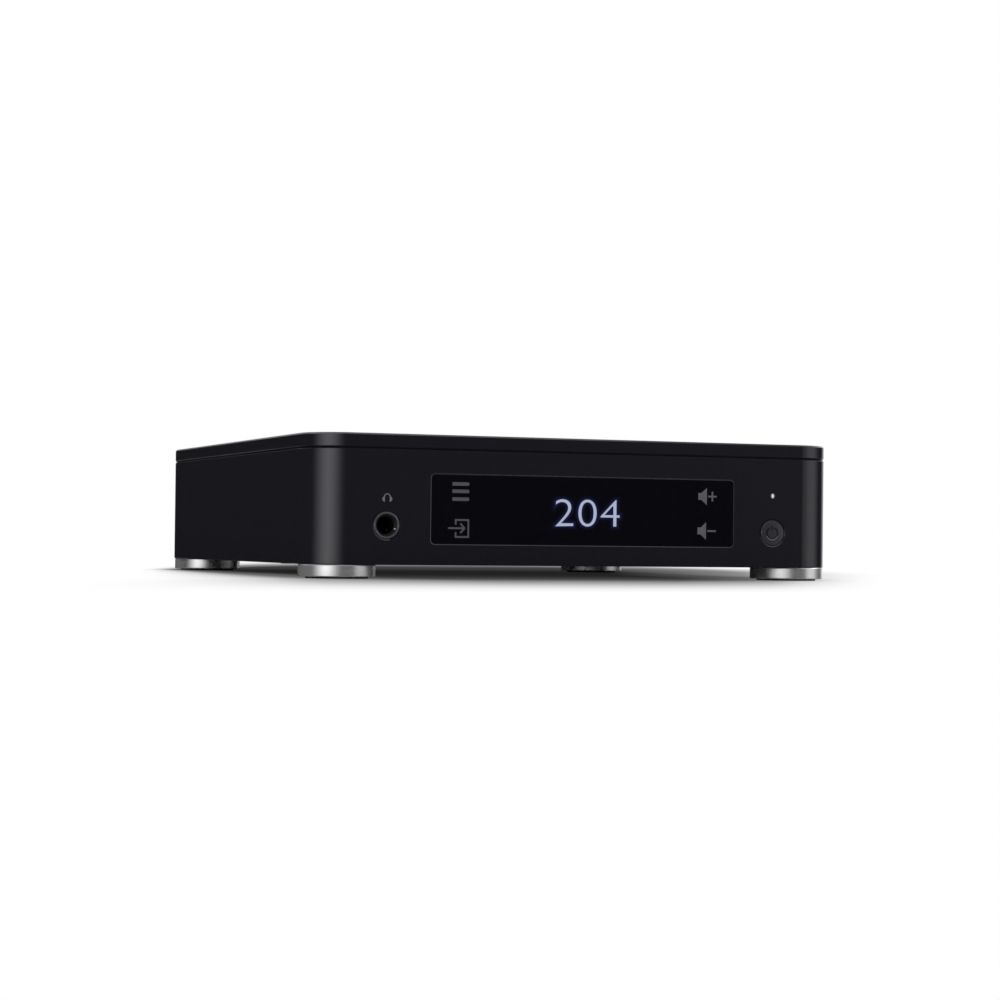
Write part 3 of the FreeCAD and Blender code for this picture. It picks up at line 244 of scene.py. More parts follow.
def surface(name, colour, roughness, metallic=0.0, variation=0.06, grain=900, stretch=(1, 1, 1),
            depth=0.01 * MM, specular=0.5, rough_spread=0.04):
    """A material with a fine grain in its colour, roughness and relief."""
    material = bpy.data.materials.new(name)
    material.use_nodes = True
    nodes, links = graph(material)
    shader = principled(material)
    shader.inputs["Metallic"].default_value = metallic
    shader.inputs["Specular IOR Level"].default_value = specular
    noise = object_noise(material, grain, stretch=stretch)
    dark = [part * (1 - variation) for part in colour]
    light = [min(1.0, part * (1 + variation)) for part in colour]
    links.new(tint(material, noise, dark, light), shader.inputs["Base Color"])
    rough = spread(material, noise, max(SMOOTHEST, roughness - rough_spread), roughness + rough_spread)
    links.new(rough, shader.inputs["Roughness"])
    if depth:
        bump = nodes.new("ShaderNodeBump")
        bump.inputs["Strength"].default_value = RELIEF
        bump.inputs["Distance"].default_value = depth
        links.new(noise, bump.inputs["Height"])
        links.new(bump.outputs["Normal"], shader.inputs["Normal"])
    return material


def black_aluminium():
    """Fine satin black anodising over aluminium."""
    material = surface("black_aluminium", (0.0122, 0.0114, 0.0164), 0.17, variation=0.05, grain=3200,
                       depth=0.002 * MM, specular=0.87, rough_spread=0.03)
    principled(material).inputs["Specular Tint"].default_value = (0.97, 0.95, 1.0, 1)
    return material


def glowing(name, colour, strength, base=(0.01, 0.01, 0.012), roughness=0.4, specular=0.1):
    """A piece that is lit from behind, a little uneven."""
    material = surface(name, base, roughness, depth=0, specular=specular)
    shader = principled(material)
    noise = object_noise(material, GLOW_GRAIN)
    dark = [part * GLOW_UNEVEN for part in colour]
    material.node_tree.links.new(tint(material, noise, dark, colour), shader.inputs["Emission Color"])
    shader.inputs["Emission Strength"].default_value = strength
    return material


def lamp_chip():
    return glowing("lamp_chip", (1.0, 0.98, 0.92), 1.0, base=(0.8, 0.8, 0.75))


def clear_guide():
    """Clear acrylic, lit white from behind: bright along its middle and dim towards its rim."""
    material = surface("clear_guide", (0.05, 0.05, 0.055), 0.25, depth=0, specular=0.4)
    nodes, links = graph(material)
    place = nodes.new("ShaderNodeTexCoord")
    centred = nodes.new("ShaderNodeMapping")
    centred.inputs["Location"].default_value = (-LAMP_X * GUIDE_SCALE_X, 0, -LAMP_Z * GUIDE_SCALE_Z)
    centred.inputs["Scale"].default_value = (GUIDE_SCALE_X, 0, GUIDE_SCALE_Z)
    away = nodes.new("ShaderNodeVectorMath")
    away.operation = "LENGTH"
    fade = nodes.new("ShaderNodeMapRange")
    fade.interpolation_type = "SMOOTHSTEP"
    fade.inputs["From Min"].default_value = GUIDE_FADE_START
    fade.inputs["From Max"].default_value = GUIDE_FADE_END
    fade.inputs["To Min"].default_value = GUIDE_MIDDLE
    fade.inputs["To Max"].default_value = GUIDE_RIM
    links.new(place.outputs["Object"], centred.inputs["Vector"])
    links.new(centred.outputs["Vector"], away.inputs[0])
    links.new(away.outputs["Value"], fade.inputs["Value"])
    shader = principled(material)
    shader.inputs["Emission Color"].default_value = (0.95, 0.95, 1.0, 1)
    links.new(fade.outputs["Result"], shader.inputs["Emission Strength"])
    return material


# Slots with a function of their own, and those that surface() makes from the values given
MADE_FINISHES = {"black_aluminium": black_aluminium, "clear_guide": clear_guide, "lamp_chip": lamp_chip}
PLAIN_FINISHES = {
    # Fine rings round the foot, which stretch every reflection upwards
    "polished_aluminium": dict(colour=(0.98, 0.98, 1.0), roughness=0.22, metallic=0.81, variation=0.02,
                               grain=60, stretch=(1, 1, 140), rough_spread=0.05),
    "smoked_window": dict(colour=(0.0036, 0.0034, 0.0058), roughness=0.08, variation=0.04, grain=120,
                          depth=0, rough_spread=0.02),
    # Solder mask over copper runs, which show as faint straight bands
    "circuit_board": dict(colour=(0.012, 0.09, 0.04), roughness=0.35, variation=0.25, grain=160,
                          stretch=(1, 6, 1), depth=0.03 * MM),
    "black_steel": dict(colour=(0.014, 0.014, 0.016), roughness=0.55, variation=0.12, grain=1500,
                        depth=0.03 * MM, specular=0.25),
    "pad_rubber": dict(colour=(0.012, 0.012, 0.012), roughness=0.8, variation=0.15, grain=1200,
                       depth=0.03 * MM, specular=0.2),
    "plated_steel": dict(colour=(0.55, 0.55, 0.56), roughness=0.32, metallic=1.0, grain=800),
    "adhesive_tape": dict(colour=(0.02, 0.02, 0.02), roughness=0.8, grain=1500),
    "display_glass": dict(colour=(0.006, 0.006, 0.009), roughness=0.12, depth=0),
    "touch_foam": dict(colour=(0.06, 0.06, 0.065), roughness=0.9, variation=0.2, grain=1400,
                       depth=0.06 * MM),
    "button_black": dict(colour=(0.037, 0.0352, 0.0465), roughness=0.18, variation=0.05, grain=2600,
                         depth=0.002 * MM, specular=1.0),
    "moulded_black": dict(colour=(0.009, 0.009, 0.010), roughness=0.42, variation=0.1, grain=1800,
                          depth=0.012 * MM, specular=0.3),
    "usb_tongue": dict(colour=(0.78, 0.78, 0.74), roughness=0.4),
    "plated_contact": dict(colour=(0.72, 0.71, 0.68), roughness=0.22, metallic=1.0, grain=700),
    "gold_plate": dict(colour=(0.93, 0.70, 0.30), roughness=0.24, metallic=0.86),
    "white_insulator": dict(colour=(0.78, 0.78, 0.75), roughness=0.3, variation=0.03),
    "red_insulator": dict(colour=(0.52, 0.012, 0.012), roughness=0.3),
    "orange_insulator": dict(colour=(0.78, 0.16, 0.01), roughness=0.3),
    "ribbon_film": dict(colour=(0.72, 0.72, 0.69), roughness=0.45, variation=0.2, grain=800,
                        stretch=(1, 0.02, 0.02)),
    "chip_package": dict(colour=(0.013, 0.013, 0.014), roughness=0.6, variation=0.15, grain=2200),
    "relay_case": dict(colour=(0.74, 0.74, 0.7), roughness=0.45),
    "crystal_can": dict(colour=(0.7, 0.7, 0.72), roughness=0.25, metallic=1.0),
    "film_capacitor": dict(colour=(0.36, 0.012, 0.01), roughness=0.3, grain=400, depth=0.05 * MM),
    "can_sleeve": dict(colour=(0.012, 0.012, 0.03), roughness=0.25),
    "inductor_core": dict(colour=(0.03, 0.03, 0.032), roughness=0.6, variation=0.2, grain=1600),
    "sink_aluminium": dict(colour=(0.6, 0.6, 0.62), roughness=0.4, metallic=1.0, grain=300,
                           stretch=(1, 1, 0.05)),
}


def finish_of(slot):
    """The material of a slot of the frame."""
    if slot in MADE_FINISHES:
        return MADE_FINISHES[slot]()
    return surface(slot, **PLAIN_FINISHES[slot])


def dress_frame():
    """Give every node of the frame the finish of its slot."""
    made = {}
    for part in frame["record"]["subparts"]:
        wanted = part["material_slot"]
        if wanted not in made:
            made[wanted] = finish_of(wanted)
        node = frame["nodes"][part["node"]]
        node.data.materials.clear()
        node.data.materials.append(made[wanted])
    return made


# Mesh helpers


def place_piece(name, shape, material, body="case", smooth_degrees=None):
    """Turn a finished bmesh into a piece that rides on a body of the frame."""
    bmesh.ops.recalc_face_normals(shape, faces=shape.faces)
    mesh = bpy.data.meshes.new(name)
    shape.to_mesh(mesh)
    shape.free()
    mesh.materials.append(material)
    piece = bpy.data.objects.new(name, mesh)
    bpy.context.scene.collection.objects.link(piece)
    if smooth_degrees:
        mesh.shade_smooth()
        mesh.set_sharp_from_angle(angle=math.radians(smooth_degrees))
    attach(piece, body)
    return piece


def chain(shape, points, closed=False):
    """Vertices at points, and the edges that join them in a run or a ring."""
    corners = [shape.verts.new(point) for point in points]
    after = [*corners[1:], corners[0]] if closed else corners[1:]
    return corners, [shape.edges.new(pair) for pair in zip(corners, after)]


def turned(shape, profile, centre, axis, steps=72):
    """Spin a closed profile of (radius, height along the axis) about an axis through a point."""
    axis = Vector(axis)
    side = Vector((1, 0, 0)) if abs(axis.x) < 0.5 else Vector((0, 1, 0))
    points = [Vector(centre) + side * radius + axis * height for radius, height in profile]
    post, run = chain(shape, points, closed=profile[0][0] > 0)
    bmesh.ops.spin(shape, geom=[*post, *run], cent=centre, axis=axis, angle=2 * math.pi, steps=steps,
                   use_merge=True)
    bmesh.ops.remove_doubles(shape, verts=shape.verts, dist=WELD)


def extruded(shape, faces):
    """Draw faces out of a shape, and give what is drawn and its vertices."""
    drawn = bmesh.ops.extrude_face_region(shape, geom=faces)["geom"]
    return drawn, [item for item in drawn if isinstance(item, bmesh.types.BMVert)]


def flat_face(shape, points, y):
    """A face that looks to the front, through points of x and z."""
    return shape.faces.new([shape.verts.new((x, y, z)) for x, z in points])


def band(shape, outer, inner, outer_y, inner_y, closed=False):
    """A strip of faces between two runs of points of x and z."""
    edges = []
    for points, y in ((outer, outer_y), (inner, inner_y)):
        edges += chain(shape, [(x, y, z) for x, z in points], closed)[1]
    return bmesh.ops.bridge_loops(shape, edges=edges)["faces"]


def thicken(shape, faces, depth):
    """Give flat faces a depth towards the front."""
    _, lifted = extruded(shape, faces)
    bmesh.ops.translate(shape, verts=lifted, vec=(0, -depth, 0))


def stroke(shape, start, end, thickness, y):
    """A straight line of ink between two points of x and z."""
    a, b = Vector(start), Vector(end)
    run = b - a
    side = Vector((-run.y, run.x)).normalized() * thickness / 2
    return flat_face(shape, [a - side, b - side, b + side, a + side], y)


def arc_points(centre, radius_x, radius_z, start, end, steps):
    """Points along an arc, its angles in degrees from the right."""
    turn = [math.radians(start + (end - start) * step / steps) for step in range(steps + 1)]
    return [(centre[0] + radius_x * math.cos(a), centre[1] + radius_z * math.sin(a)) for a in turn]


def arc_band(shape, centre, outer, inner, y, start, end, steps):
    """A curved line of ink between two arcs, each given by its two radii."""
    runs = [arc_points(centre, *radii, start, end, steps) for radii in (outer, inner)]
    return band(shape, *runs, y, y)


# Signs on the window and the front


def menu_sign(ink):
    """Three bars, square at the left and round at the right."""
    shape = bmesh.new()
    half = MENU_THICKNESS / 2
    faces = []
    for level in MENU_LEVELS:
        end = arc_points((MENU_RIGHT - half, level), half, half, -90, 90, steps=8)
        bar = [(MENU_LEFT, level - half), *end, (MENU_LEFT, level + half)]
        faces.append(flat_face(shape, bar, LENS_Y))
    thicken(shape, faces, INK_DEPTH)
    place_piece("menu_sign", shape, ink)


def input_sign(ink):
    """An arrow that runs into a box open at its left."""
    shape = bmesh.new()
    half = INPUT_LINE / 2
    left, right = INPUT_LEFT + half, INPUT_RIGHT - half
    low, high = INPUT_LOW + half, INPUT_HIGH - half
    runs = [
        ((left, high - INPUT_LEG), (left, high + half)),
        ((left + half, high), (right - half, high)),
        ((right, high + half), (right, low - half)),
        ((left + half, low), (right - half, low)),
        ((left, low - half), (left, low + INPUT_LEG)),
        ((ARROW_TAIL, ARROW_Z), (ARROW_TIP - half, ARROW_Z)),
    ]
    faces = [stroke(shape, start, end, INPUT_LINE, LENS_Y) for start, end in runs]
    for side in (-1, 1):
        barb = (ARROW_TIP - ARROW_HEAD, ARROW_Z + side * ARROW_HEAD)
        apart = side * INK_DEPTH * BARBS_APART
        faces.append(stroke(shape, (ARROW_TIP, ARROW_Z), barb, INPUT_LINE, LENS_Y - apart))
    thicken(shape, faces, INK_DEPTH)
    place_piece("input_sign", shape, ink)


def speaker_sign(name, left, level, louder, ink):
    """A loudspeaker with a plus or a minus beside it."""
    shape = bmesh.new()
    back, half_back = SPEAKER_BACK_WIDTH, SPEAKER_BACK_HEIGHT / 2
    half = SPEAKER_HEIGHT / 2
    right = left + SPEAKER_WIDTH
    points = [(left, level - half_back), (left + back, level - half_back), (right, level - half),
              (right, level + half), (left + back, level + half_back), (left, level + half_back)]
    faces = [flat_face(shape, points, LENS_Y)]
    start = left + MARK_START
    middle = start + MARK_LENGTH / 2
    faces.append(stroke(shape, (start, level), (start + MARK_LENGTH, level), MARK_THICKNESS, LENS_Y))
    if louder:
        for side in (-1, 1):
            foot = (middle, level + side * MARK_THICKNESS / 2)
            tip = (middle, level + side * MARK_LENGTH / 2)
            faces.append(stroke(shape, foot, tip, MARK_THICKNESS, LENS_Y))
    thicken(shape, faces, INK_DEPTH)
    place_piece(name, shape, ink)


def phones_sign(ink):
    """A pair of headphones: a thin arch with an ear piece at each end, flat inside and round outside."""
    shape = bmesh.new()
    centre = (PHONES_X, PHONES_Z + EAR_HEIGHT * ARCH_LEVEL)
    faces = arc_band(shape, centre, (ARCH_HALF, ARCH_RISE), (ARCH_HALF - ARCH_LINE, ARCH_RISE - ARCH_LINE),
                     FRONT_Y, 0, 180, steps=20)
    for side, start, end in ((1, -90, 90), (-1, 90, 270)):
        middle = (PHONES_X + side * EAR_INNER, PHONES_Z + EAR_HEIGHT / 2)
        ear = arc_points(middle, EAR_WIDTH, EAR_HEIGHT / 2, start, end, steps=14)
        faces.append(flat_face(shape, ear, FRONT_Y - INK_DEPTH * EARS_PROUD))
    thicken(shape, faces, INK_DEPTH)
    place_piece("phones_sign", shape, ink)


def dome_drop(radius):
    """How far the button's face lies behind its middle."""
    return BUTTON_DOME * (radius / BUTTON_RADIUS) ** 2


def drape(shape, sunk):
    """Lay a flat sign on the button's domed face, sunk by a little."""
    for vertex in shape.verts:
        radius = math.hypot(vertex.co.x - BUTTON_X, vertex.co.z - BUTTON_Z)
        vertex.co.y += dome_drop(radius) + sunk


def power_sign(dark, light):
    """The open ring and bar sunk in the button's face, painted near-black as the shade in their groove, and a
    pale crescent painted as the highlight on the groove's lower wall.
    """
    face_y = button_low.y
    centre = (BUTTON_X + POWER_SHIFT_X, BUTTON_Z + POWER_SHIFT_Z)
    outer, inner = POWER_RING + POWER_LINE / 2, POWER_RING - POWER_LINE / 2
    shape = bmesh.new()
    faces = arc_band(shape, centre, (outer, outer), (inner, inner), face_y, POWER_START, POWER_END, steps=36)
    bar = [(centre[0], centre[1] + level) for level in (POWER_BAR_LOW, POWER_BAR_HIGH)]
    faces.append(stroke(shape, *bar, POWER_LINE, face_y))
    thicken(shape, faces, INK_DEPTH)
    drape(shape, POWER_SUNK)
    place_piece("power_sign", shape, dark, body="power_button")
    # A painted highlight: a pale crescent on the lower wall of the ring's groove
    shape = bmesh.new()
    faces = arc_band(shape, centre, (outer + GROOVE_WIDTH, outer + GROOVE_HEIGHT),
                     (outer - GROOVE_OVERLAP, outer - GROOVE_OVERLAP), face_y, GROOVE_START, GROOVE_END,
                     steps=24)
    thicken(shape, faces, INK_DEPTH)
    drape(shape, GROOVE_SUNK)
    place_piece("power_sign_groove_painted_highlight", shape, light, body="power_button")


def number_mesh(offset):
    """The lit number as a flat mesh, its strokes made fatter by an offset."""
    text = bpy.data.curves.new("number_text", "FONT")
    text.body = NUMBER
    text.size = 1.0
    text.space_character = NUMBER_SPACING
    holder = bpy.data.objects.new("number_text", text)
    bpy.context.scene.collection.objects.link(holder)
    bpy.context.view_layer.update()
    low = [min(corner[axis] for corner in holder.bound_box) for axis in range(2)]
    high = [max(corner[axis] for corner in holder.bound_box) for axis in range(2)]
    scale_x = (NUMBER_RIGHT - NUMBER_LEFT) / (high[0] - low[0])
    scale_z = (NUMBER_HIGH - NUMBER_LOW) / (high[1] - low[1])
    text.offset = offset / ((scale_x + scale_z) / 2)
    bpy.context.view_layer.update()
    mesh = bpy.data.meshes.new_from_object(holder.evaluated_get(bpy.context.evaluated_depsgraph_get()))
    bpy.data.objects.remove(holder)
    for vertex in mesh.vertices:
        x = NUMBER_LEFT + (vertex.co.x - low[0]) * scale_x
        z = NUMBER_LOW + (vertex.co.y - low[1]) * scale_z
        vertex.co = (x, 0, z)
    mesh.shade_flat()
    return mesh


def lit_number():
    """The number on the window's face, with a dim glow that fades away from its strokes."""
    lit = glowing("lit_number", (0.41, 0.455, 0.60), 1.0)
    layers = [("number", NUMBER_WEIGHT, lit)]
    for step in range(1, GLOW_STEPS + 1):
        strength = (1 - (step - 0.5) / (GLOW_STEPS + 0.5)) ** GLOW_FADE
        glow = glowing(f"glow_{step}", (0.0105, 0.0115, 0.056), strength, base=(0.0036, 0.0034, 0.0058),
                       roughness=0.08, specular=0.5)
        layers.append((f"number_glow_{step}", NUMBER_WEIGHT + GLOW_REACH * step / GLOW_STEPS, glow))
    for index, (name, offset, material) in enumerate(layers):
        mesh = number_mesh(offset)
        lift = INK_DEPTH * (NUMBER_LIFT - LAYER_DROP * index)
        for vertex in mesh.vertices:
            vertex.co.y = LENS_Y - lift
        mesh.materials.clear()
        mesh.materials.append(material)
        piece = bpy.data.objects.new(name, mesh)
        bpy.context.scene.collection.objects.link(piece)
        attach(piece, "case")


def round_outline(left, right, under, over, corner, steps=8):
    """Points round a rectangle of x and z with round corners."""
    points = []
    for x, z, start in ((right - corner, over - corner, 0), (left + corner, over - corner, 90),
                        (left + corner, under + corner, 180), (right - corner, under + corner, 270)):
        points += arc_points((x, z), corner, corner, start, start + 90, steps)
    return points


def window_trim(material):
    """The window's bevelled edge, wider along its top, which catches the light."""
    shape = bmesh.new()
    left, right, under, over = lens_low.x, lens_high.x, lens_low.z, lens_high.z
    outer = round_outline(left - TRIM_SLACK, right + TRIM_SLACK, under - TRIM_SLACK, over + TRIM_SLACK,
                          WINDOW_CORNER)
    inner = round_outline(left + TRIM_SIDE, right - TRIM_SIDE, under + TRIM_SIDE, over - TRIM_TOP,
                          WINDOW_CORNER - TRIM_SIDE)
    band(shape, outer, inner, FRONT_Y + TRIM_SUNK, LENS_Y - TRIM_PROUD, closed=True)
    place_piece("window_trim", shape, material, smooth_degrees=30)


# Turned pieces, painted lip highlights and the seam's painted shade


def turned_feet(metal):
    """Four turned aluminium discs with softened edges, over their rubber pads."""
    low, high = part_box("feet")
    top = high.z - low.z
    cut, hold = FOOT_EDGE * FOOT_CUT, FOOT_EDGE * FOOT_HOLD
    profile = [(0, FOOT_CORE_SUNK), (FOOT_CORE, FOOT_CORE_SUNK), (FOOT_CORE + FOOT_CORE_SLOPE, 0),
               (FOOT_RADIUS - FOOT_EDGE, 0), (FOOT_RADIUS - cut, cut), (FOOT_RADIUS, FOOT_EDGE),
               (FOOT_RADIUS, hold), (FOOT_RADIUS, top - hold), (FOOT_RADIUS, top - FOOT_EDGE),
               (FOOT_RADIUS - cut, top - cut), (FOOT_RADIUS - FOOT_EDGE, top), (0, top)]
    shape = bmesh.new()
    for x in (low.x + FOOT_RADIUS, high.x - FOOT_RADIUS):
        for y in (low.y + FOOT_RADIUS, high.y - FOOT_RADIUS):
            turned(shape, profile, (x, y, low.z), (0, 0, 1), steps=128)
    feet = place_piece("turned_feet", shape, metal, smooth_degrees=40)
    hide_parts("feet")


def domed_button(black):
    """The power button: a shallow dome with a round edge, its flange behind the wall and its stem."""
    tip = button_high.y - button_low.y
    flange = WALL + BUTTON_PROUD + FLANGE_ROOM
    face = BUTTON_RADIUS - BUTTON_EDGE
    dome = [(face * step / DOME_STEPS, dome_drop(face * step / DOME_STEPS)) for step in range(DOME_STEPS + 1)]
    drop = dome[-1][1]
    edge = [(BUTTON_RADIUS - BUTTON_EDGE * aside, drop + BUTTON_EDGE * back) for aside, back in BUTTON_ROUND]
    profile = [*dome, *edge, (BUTTON_RADIUS, flange), (FLANGE_RADIUS, flange),
               (FLANGE_RADIUS, flange + FLANGE_THICKNESS), (STEM_RADIUS, flange + FLANGE_THICKNESS),
               (STEM_RADIUS, tip), (0, tip)]
    shape = bmesh.new()
    turned(shape, profile, (BUTTON_X, button_low.y, BUTTON_Z), (0, 1, 0), steps=96)
    button = place_piece("domed_button", shape, black, body="power_button", smooth_degrees=35)
    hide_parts("power_button")


def jack_ring(metal):
    """The rounded lip of the headphone bush."""
    middle, half = (RING_OUTER + RING_INNER) / 2, (RING_OUTER - RING_INNER) / 2
    arch = arc_points((middle, 0), half, -RING_PROUD, 0, 180, steps=9)
    profile = [(RING_OUTER, RING_SEAT), *arch, (RING_INNER, RING_SEAT)]
    shape = bmesh.new()
    turned(shape, profile, (JACK_X, JACK_Y, JACK_Z), (0, 1, 0), steps=72)
    place_piece("jack_ring", shape, metal, smooth_degrees=60)


def contact_tip(metal):
    """The rounded tip of the front contact, just inside the bush."""
    arch = arc_points((0, 0), TIP_RADIUS, TIP_RADIUS, -90, 90, steps=12)
    centre = (JACK_X + TIP_ASIDE, JACK_Y + TIP_INSIDE, JACK_Z - TIP_BELOW)
    shape = bmesh.new()
    turned(shape, [(0, arch[0][1]), *arch[1:-1], (0, arch[-1][1])], centre, (0, 1, 0), steps=24)
    place_piece("contact_tip", shape, metal, smooth_degrees=60)


def painted_lip_highlight(name, x, z, start, end, metal):
    """A pale crescent painted round the lower edge of a hole in the front wall, as the highlight on its lip;
    it is thinner at the sides.
    """
    shape = bmesh.new()
    outer = (HOLE_RADIUS + LIP * LIP_SIDE, HOLE_RADIUS + LIP)
    faces = arc_band(shape, (x, z), outer, (HOLE_RADIUS, HOLE_RADIUS), FRONT_Y, start, end, steps=24)
    thicken(shape, faces, INK_DEPTH)
    place_piece(name, shape, metal)


def seam_shade_ring(material):
    """A dark ring set back in the gap under the lid: painted shade that keeps the seam dark to its ends."""
    _, lid_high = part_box("lid")
    bottom, top = case_high.z, lid_high.z - LID_HEIGHT
    left, right = case_low.x + SEAM_SHADE_INSET, case_high.x - SEAM_SHADE_INSET
    front, back = case_low.y + SEAM_SHADE_INSET, case_high.y - SEAM_SHADE_INSET
    shape = bmesh.new()
    sheet = bmesh.ops.create_grid(shape, x_segments=1, y_segments=1, size=0.5)
    bmesh.ops.scale(shape, vec=(right - left, back - front, 1), verts=sheet["verts"])
    bmesh.ops.translate(shape, vec=((left + right) / 2, (front + back) / 2, bottom), verts=sheet["verts"])
    bmesh.ops.bevel(shape, geom=list(shape.verts), offset=CASE_CORNER - SEAM_SHADE_INSET, segments=16,
                    profile=0.5, affect="VERTICES", material=-1)
    middle = shape.faces[:]
    bmesh.ops.inset_region(shape, faces=middle, thickness=SEAM_SHADE_WIDTH, use_boundary=True,
                           use_even_offset=True)
    bmesh.ops.delete(shape, geom=middle, context="FACES_ONLY")
    _, lifted = extruded(shape, list(shape.faces))
    bmesh.ops.translate(shape, verts=lifted, vec=(0, 0, top - bottom))
    place_piece("seam_shade_ring", shape, material, smooth_degrees=30)


def phono_sleeves(metal):
    """The sprung centre sleeve in each phono insulator."""
    profile = [(SLEEVE_OUTER, 0), (SLEEVE_INNER + SLEEVE_CHAMFER, 0), (SLEEVE_INNER, SLEEVE_CHAMFER),
               (SLEEVE_INNER, SLEEVE_DEPTH), (SLEEVE_OUTER, SLEEVE_DEPTH)]
    for colour in ("white", "red", "orange"):
        low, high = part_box(f"rca_insulator_{colour}")
        centre = ((low.x + high.x) / 2, high.y + SLEEVE_PROUD, (low.z + high.z) / 2)
        shape = bmesh.new()
        turned(shape, profile, centre, (0, -1, 0), steps=48)
        place_piece(f"phono_sleeve_{colour}", shape, metal, smooth_degrees=30)


# Screws


def socket_screw(name, centre, outward, radius, height, material):
    """A round-headed screw with a six-sided socket, its seat at a point."""
    shape = bmesh.new()
    bmesh.ops.create_circle(shape, cap_ends=True, segments=36, radius=radius)
    drawn, top = extruded(shape, list(shape.faces))
    bmesh.ops.translate(shape, verts=top, vec=(0, 0, height))
    cap = next(item for item in drawn if isinstance(item, bmesh.types.BMFace))
    bmesh.ops.bevel(shape, geom=list(cap.edges), offset=height * HEAD_ROUND, segments=4, profile=0.5,
                    affect="EDGES", material=-1)
    shape.faces.ensure_lookup_table()
    cap = max(shape.faces, key=lambda item: item.calc_center_median().z)
    bmesh.ops.inset_region(shape, faces=[cap], thickness=radius * SOCKET_RIM)
    _, sunk = extruded(shape, [cap])
    bmesh.ops.delete(shape, geom=[cap], context="FACES_ONLY")
    for vertex in sunk:
        angle = math.atan2(vertex.co.y, vertex.co.x)
        sector = (angle + math.pi / 6) % (math.pi / 3) - math.pi / 6
        reach = radius * SOCKET_REACH / math.cos(sector)
        vertex.co.x = reach * math.cos(angle)
        vertex.co.y = reach * math.sin(angle)
        vertex.co.z -= height * SOCKET_DEPTH
    turn = Vector((0, 0, 1)).rotation_difference(Vector(outward)).to_matrix().to_4x4()
    bmesh.ops.transform(shape, matrix=Matrix.Translation(centre) @ turn, verts=shape.verts)
    place_piece(name, shape, material, smooth_degrees=35)


def screws(material):
    """Screws in the corners of the rear panel and in the base plate."""
    edge = PANEL_SCREW_EDGE
    for side, x in (("left", panel_low.x + edge), ("right", panel_high.x - edge)):
        for level, z in (("low", panel_low.z + edge), ("high", panel_high.z - edge)):
            centre = Vector((x, panel_high.y, z))
            socket_screw(f"panel_screw_{level}_{side}", centre, (0, 1, 0), *PANEL_SCREW, material)
    middle_y = (case_low.y + case_high.y) / 2
    channel_x = case_high.x - BASE_SCREW_EDGE
    for side in (-1, 1):
        for end in (-1, 1):
            centre = Vector((side * channel_x, middle_y + end * BASE_SCREW_REACH, plate_low.z))
            socket_screw(f"base_screw_{side + 1}{end + 1}", centre, (0, 0, -1), *BASE_SCREW, material)


# Stage


def number_node(nodes, links, operation, *values):
    """A Math node whose inputs are sockets or plain numbers."""
    node = nodes.new("ShaderNodeMath")
    node.operation = operation
    for index, value in enumerate(values):
        if isinstance(value, bpy.types.NodeSocket):
            links.new(value, node.inputs[index])
        else:
            node.inputs[index].default_value = value
    return node.outputs[0]


def eased(nodes, links, source, start, end, low=0.0, high=1.0):
    """A soft step from low at start to high at end."""
    ramp = nodes.new("ShaderNodeMapRange")
    ramp.interpolation_type = "SMOOTHSTEP"
    ramp.inputs["From Min"].default_value = min(start, end)
    ramp.inputs["From Max"].default_value = max(start, end)
    ramp.inputs["To Min"].default_value = low if start < end else high
    ramp.inputs["To Max"].default_value = high if start < end else low
    links.new(source, ramp.inputs["Value"])
    return ramp.outputs["Result"]


def graded(nodes, links, source, steps):
    """A grey that follows a list of (distance, level)."""
    first, last = steps[0][0], steps[-1][0]
    along = nodes.new("ShaderNodeMapRange")
    along.inputs["From Min"].default_value = first
    along.inputs["From Max"].default_value = last
    links.new(source, along.inputs["Value"])
    ramp = nodes.new("ShaderNodeValToRGB")
    stops = ramp.color_ramp.elements
    while len(stops) < len(steps):
        stops.new(1.0)
    for stop, (distance, level) in zip(stops, steps):
        stop.position = (distance - first) / (last - first)
        stop.color = (level, level, level, 1)
    links.new(along.outputs["Result"], ramp.inputs["Fac"])
    return ramp.outputs["Color"]


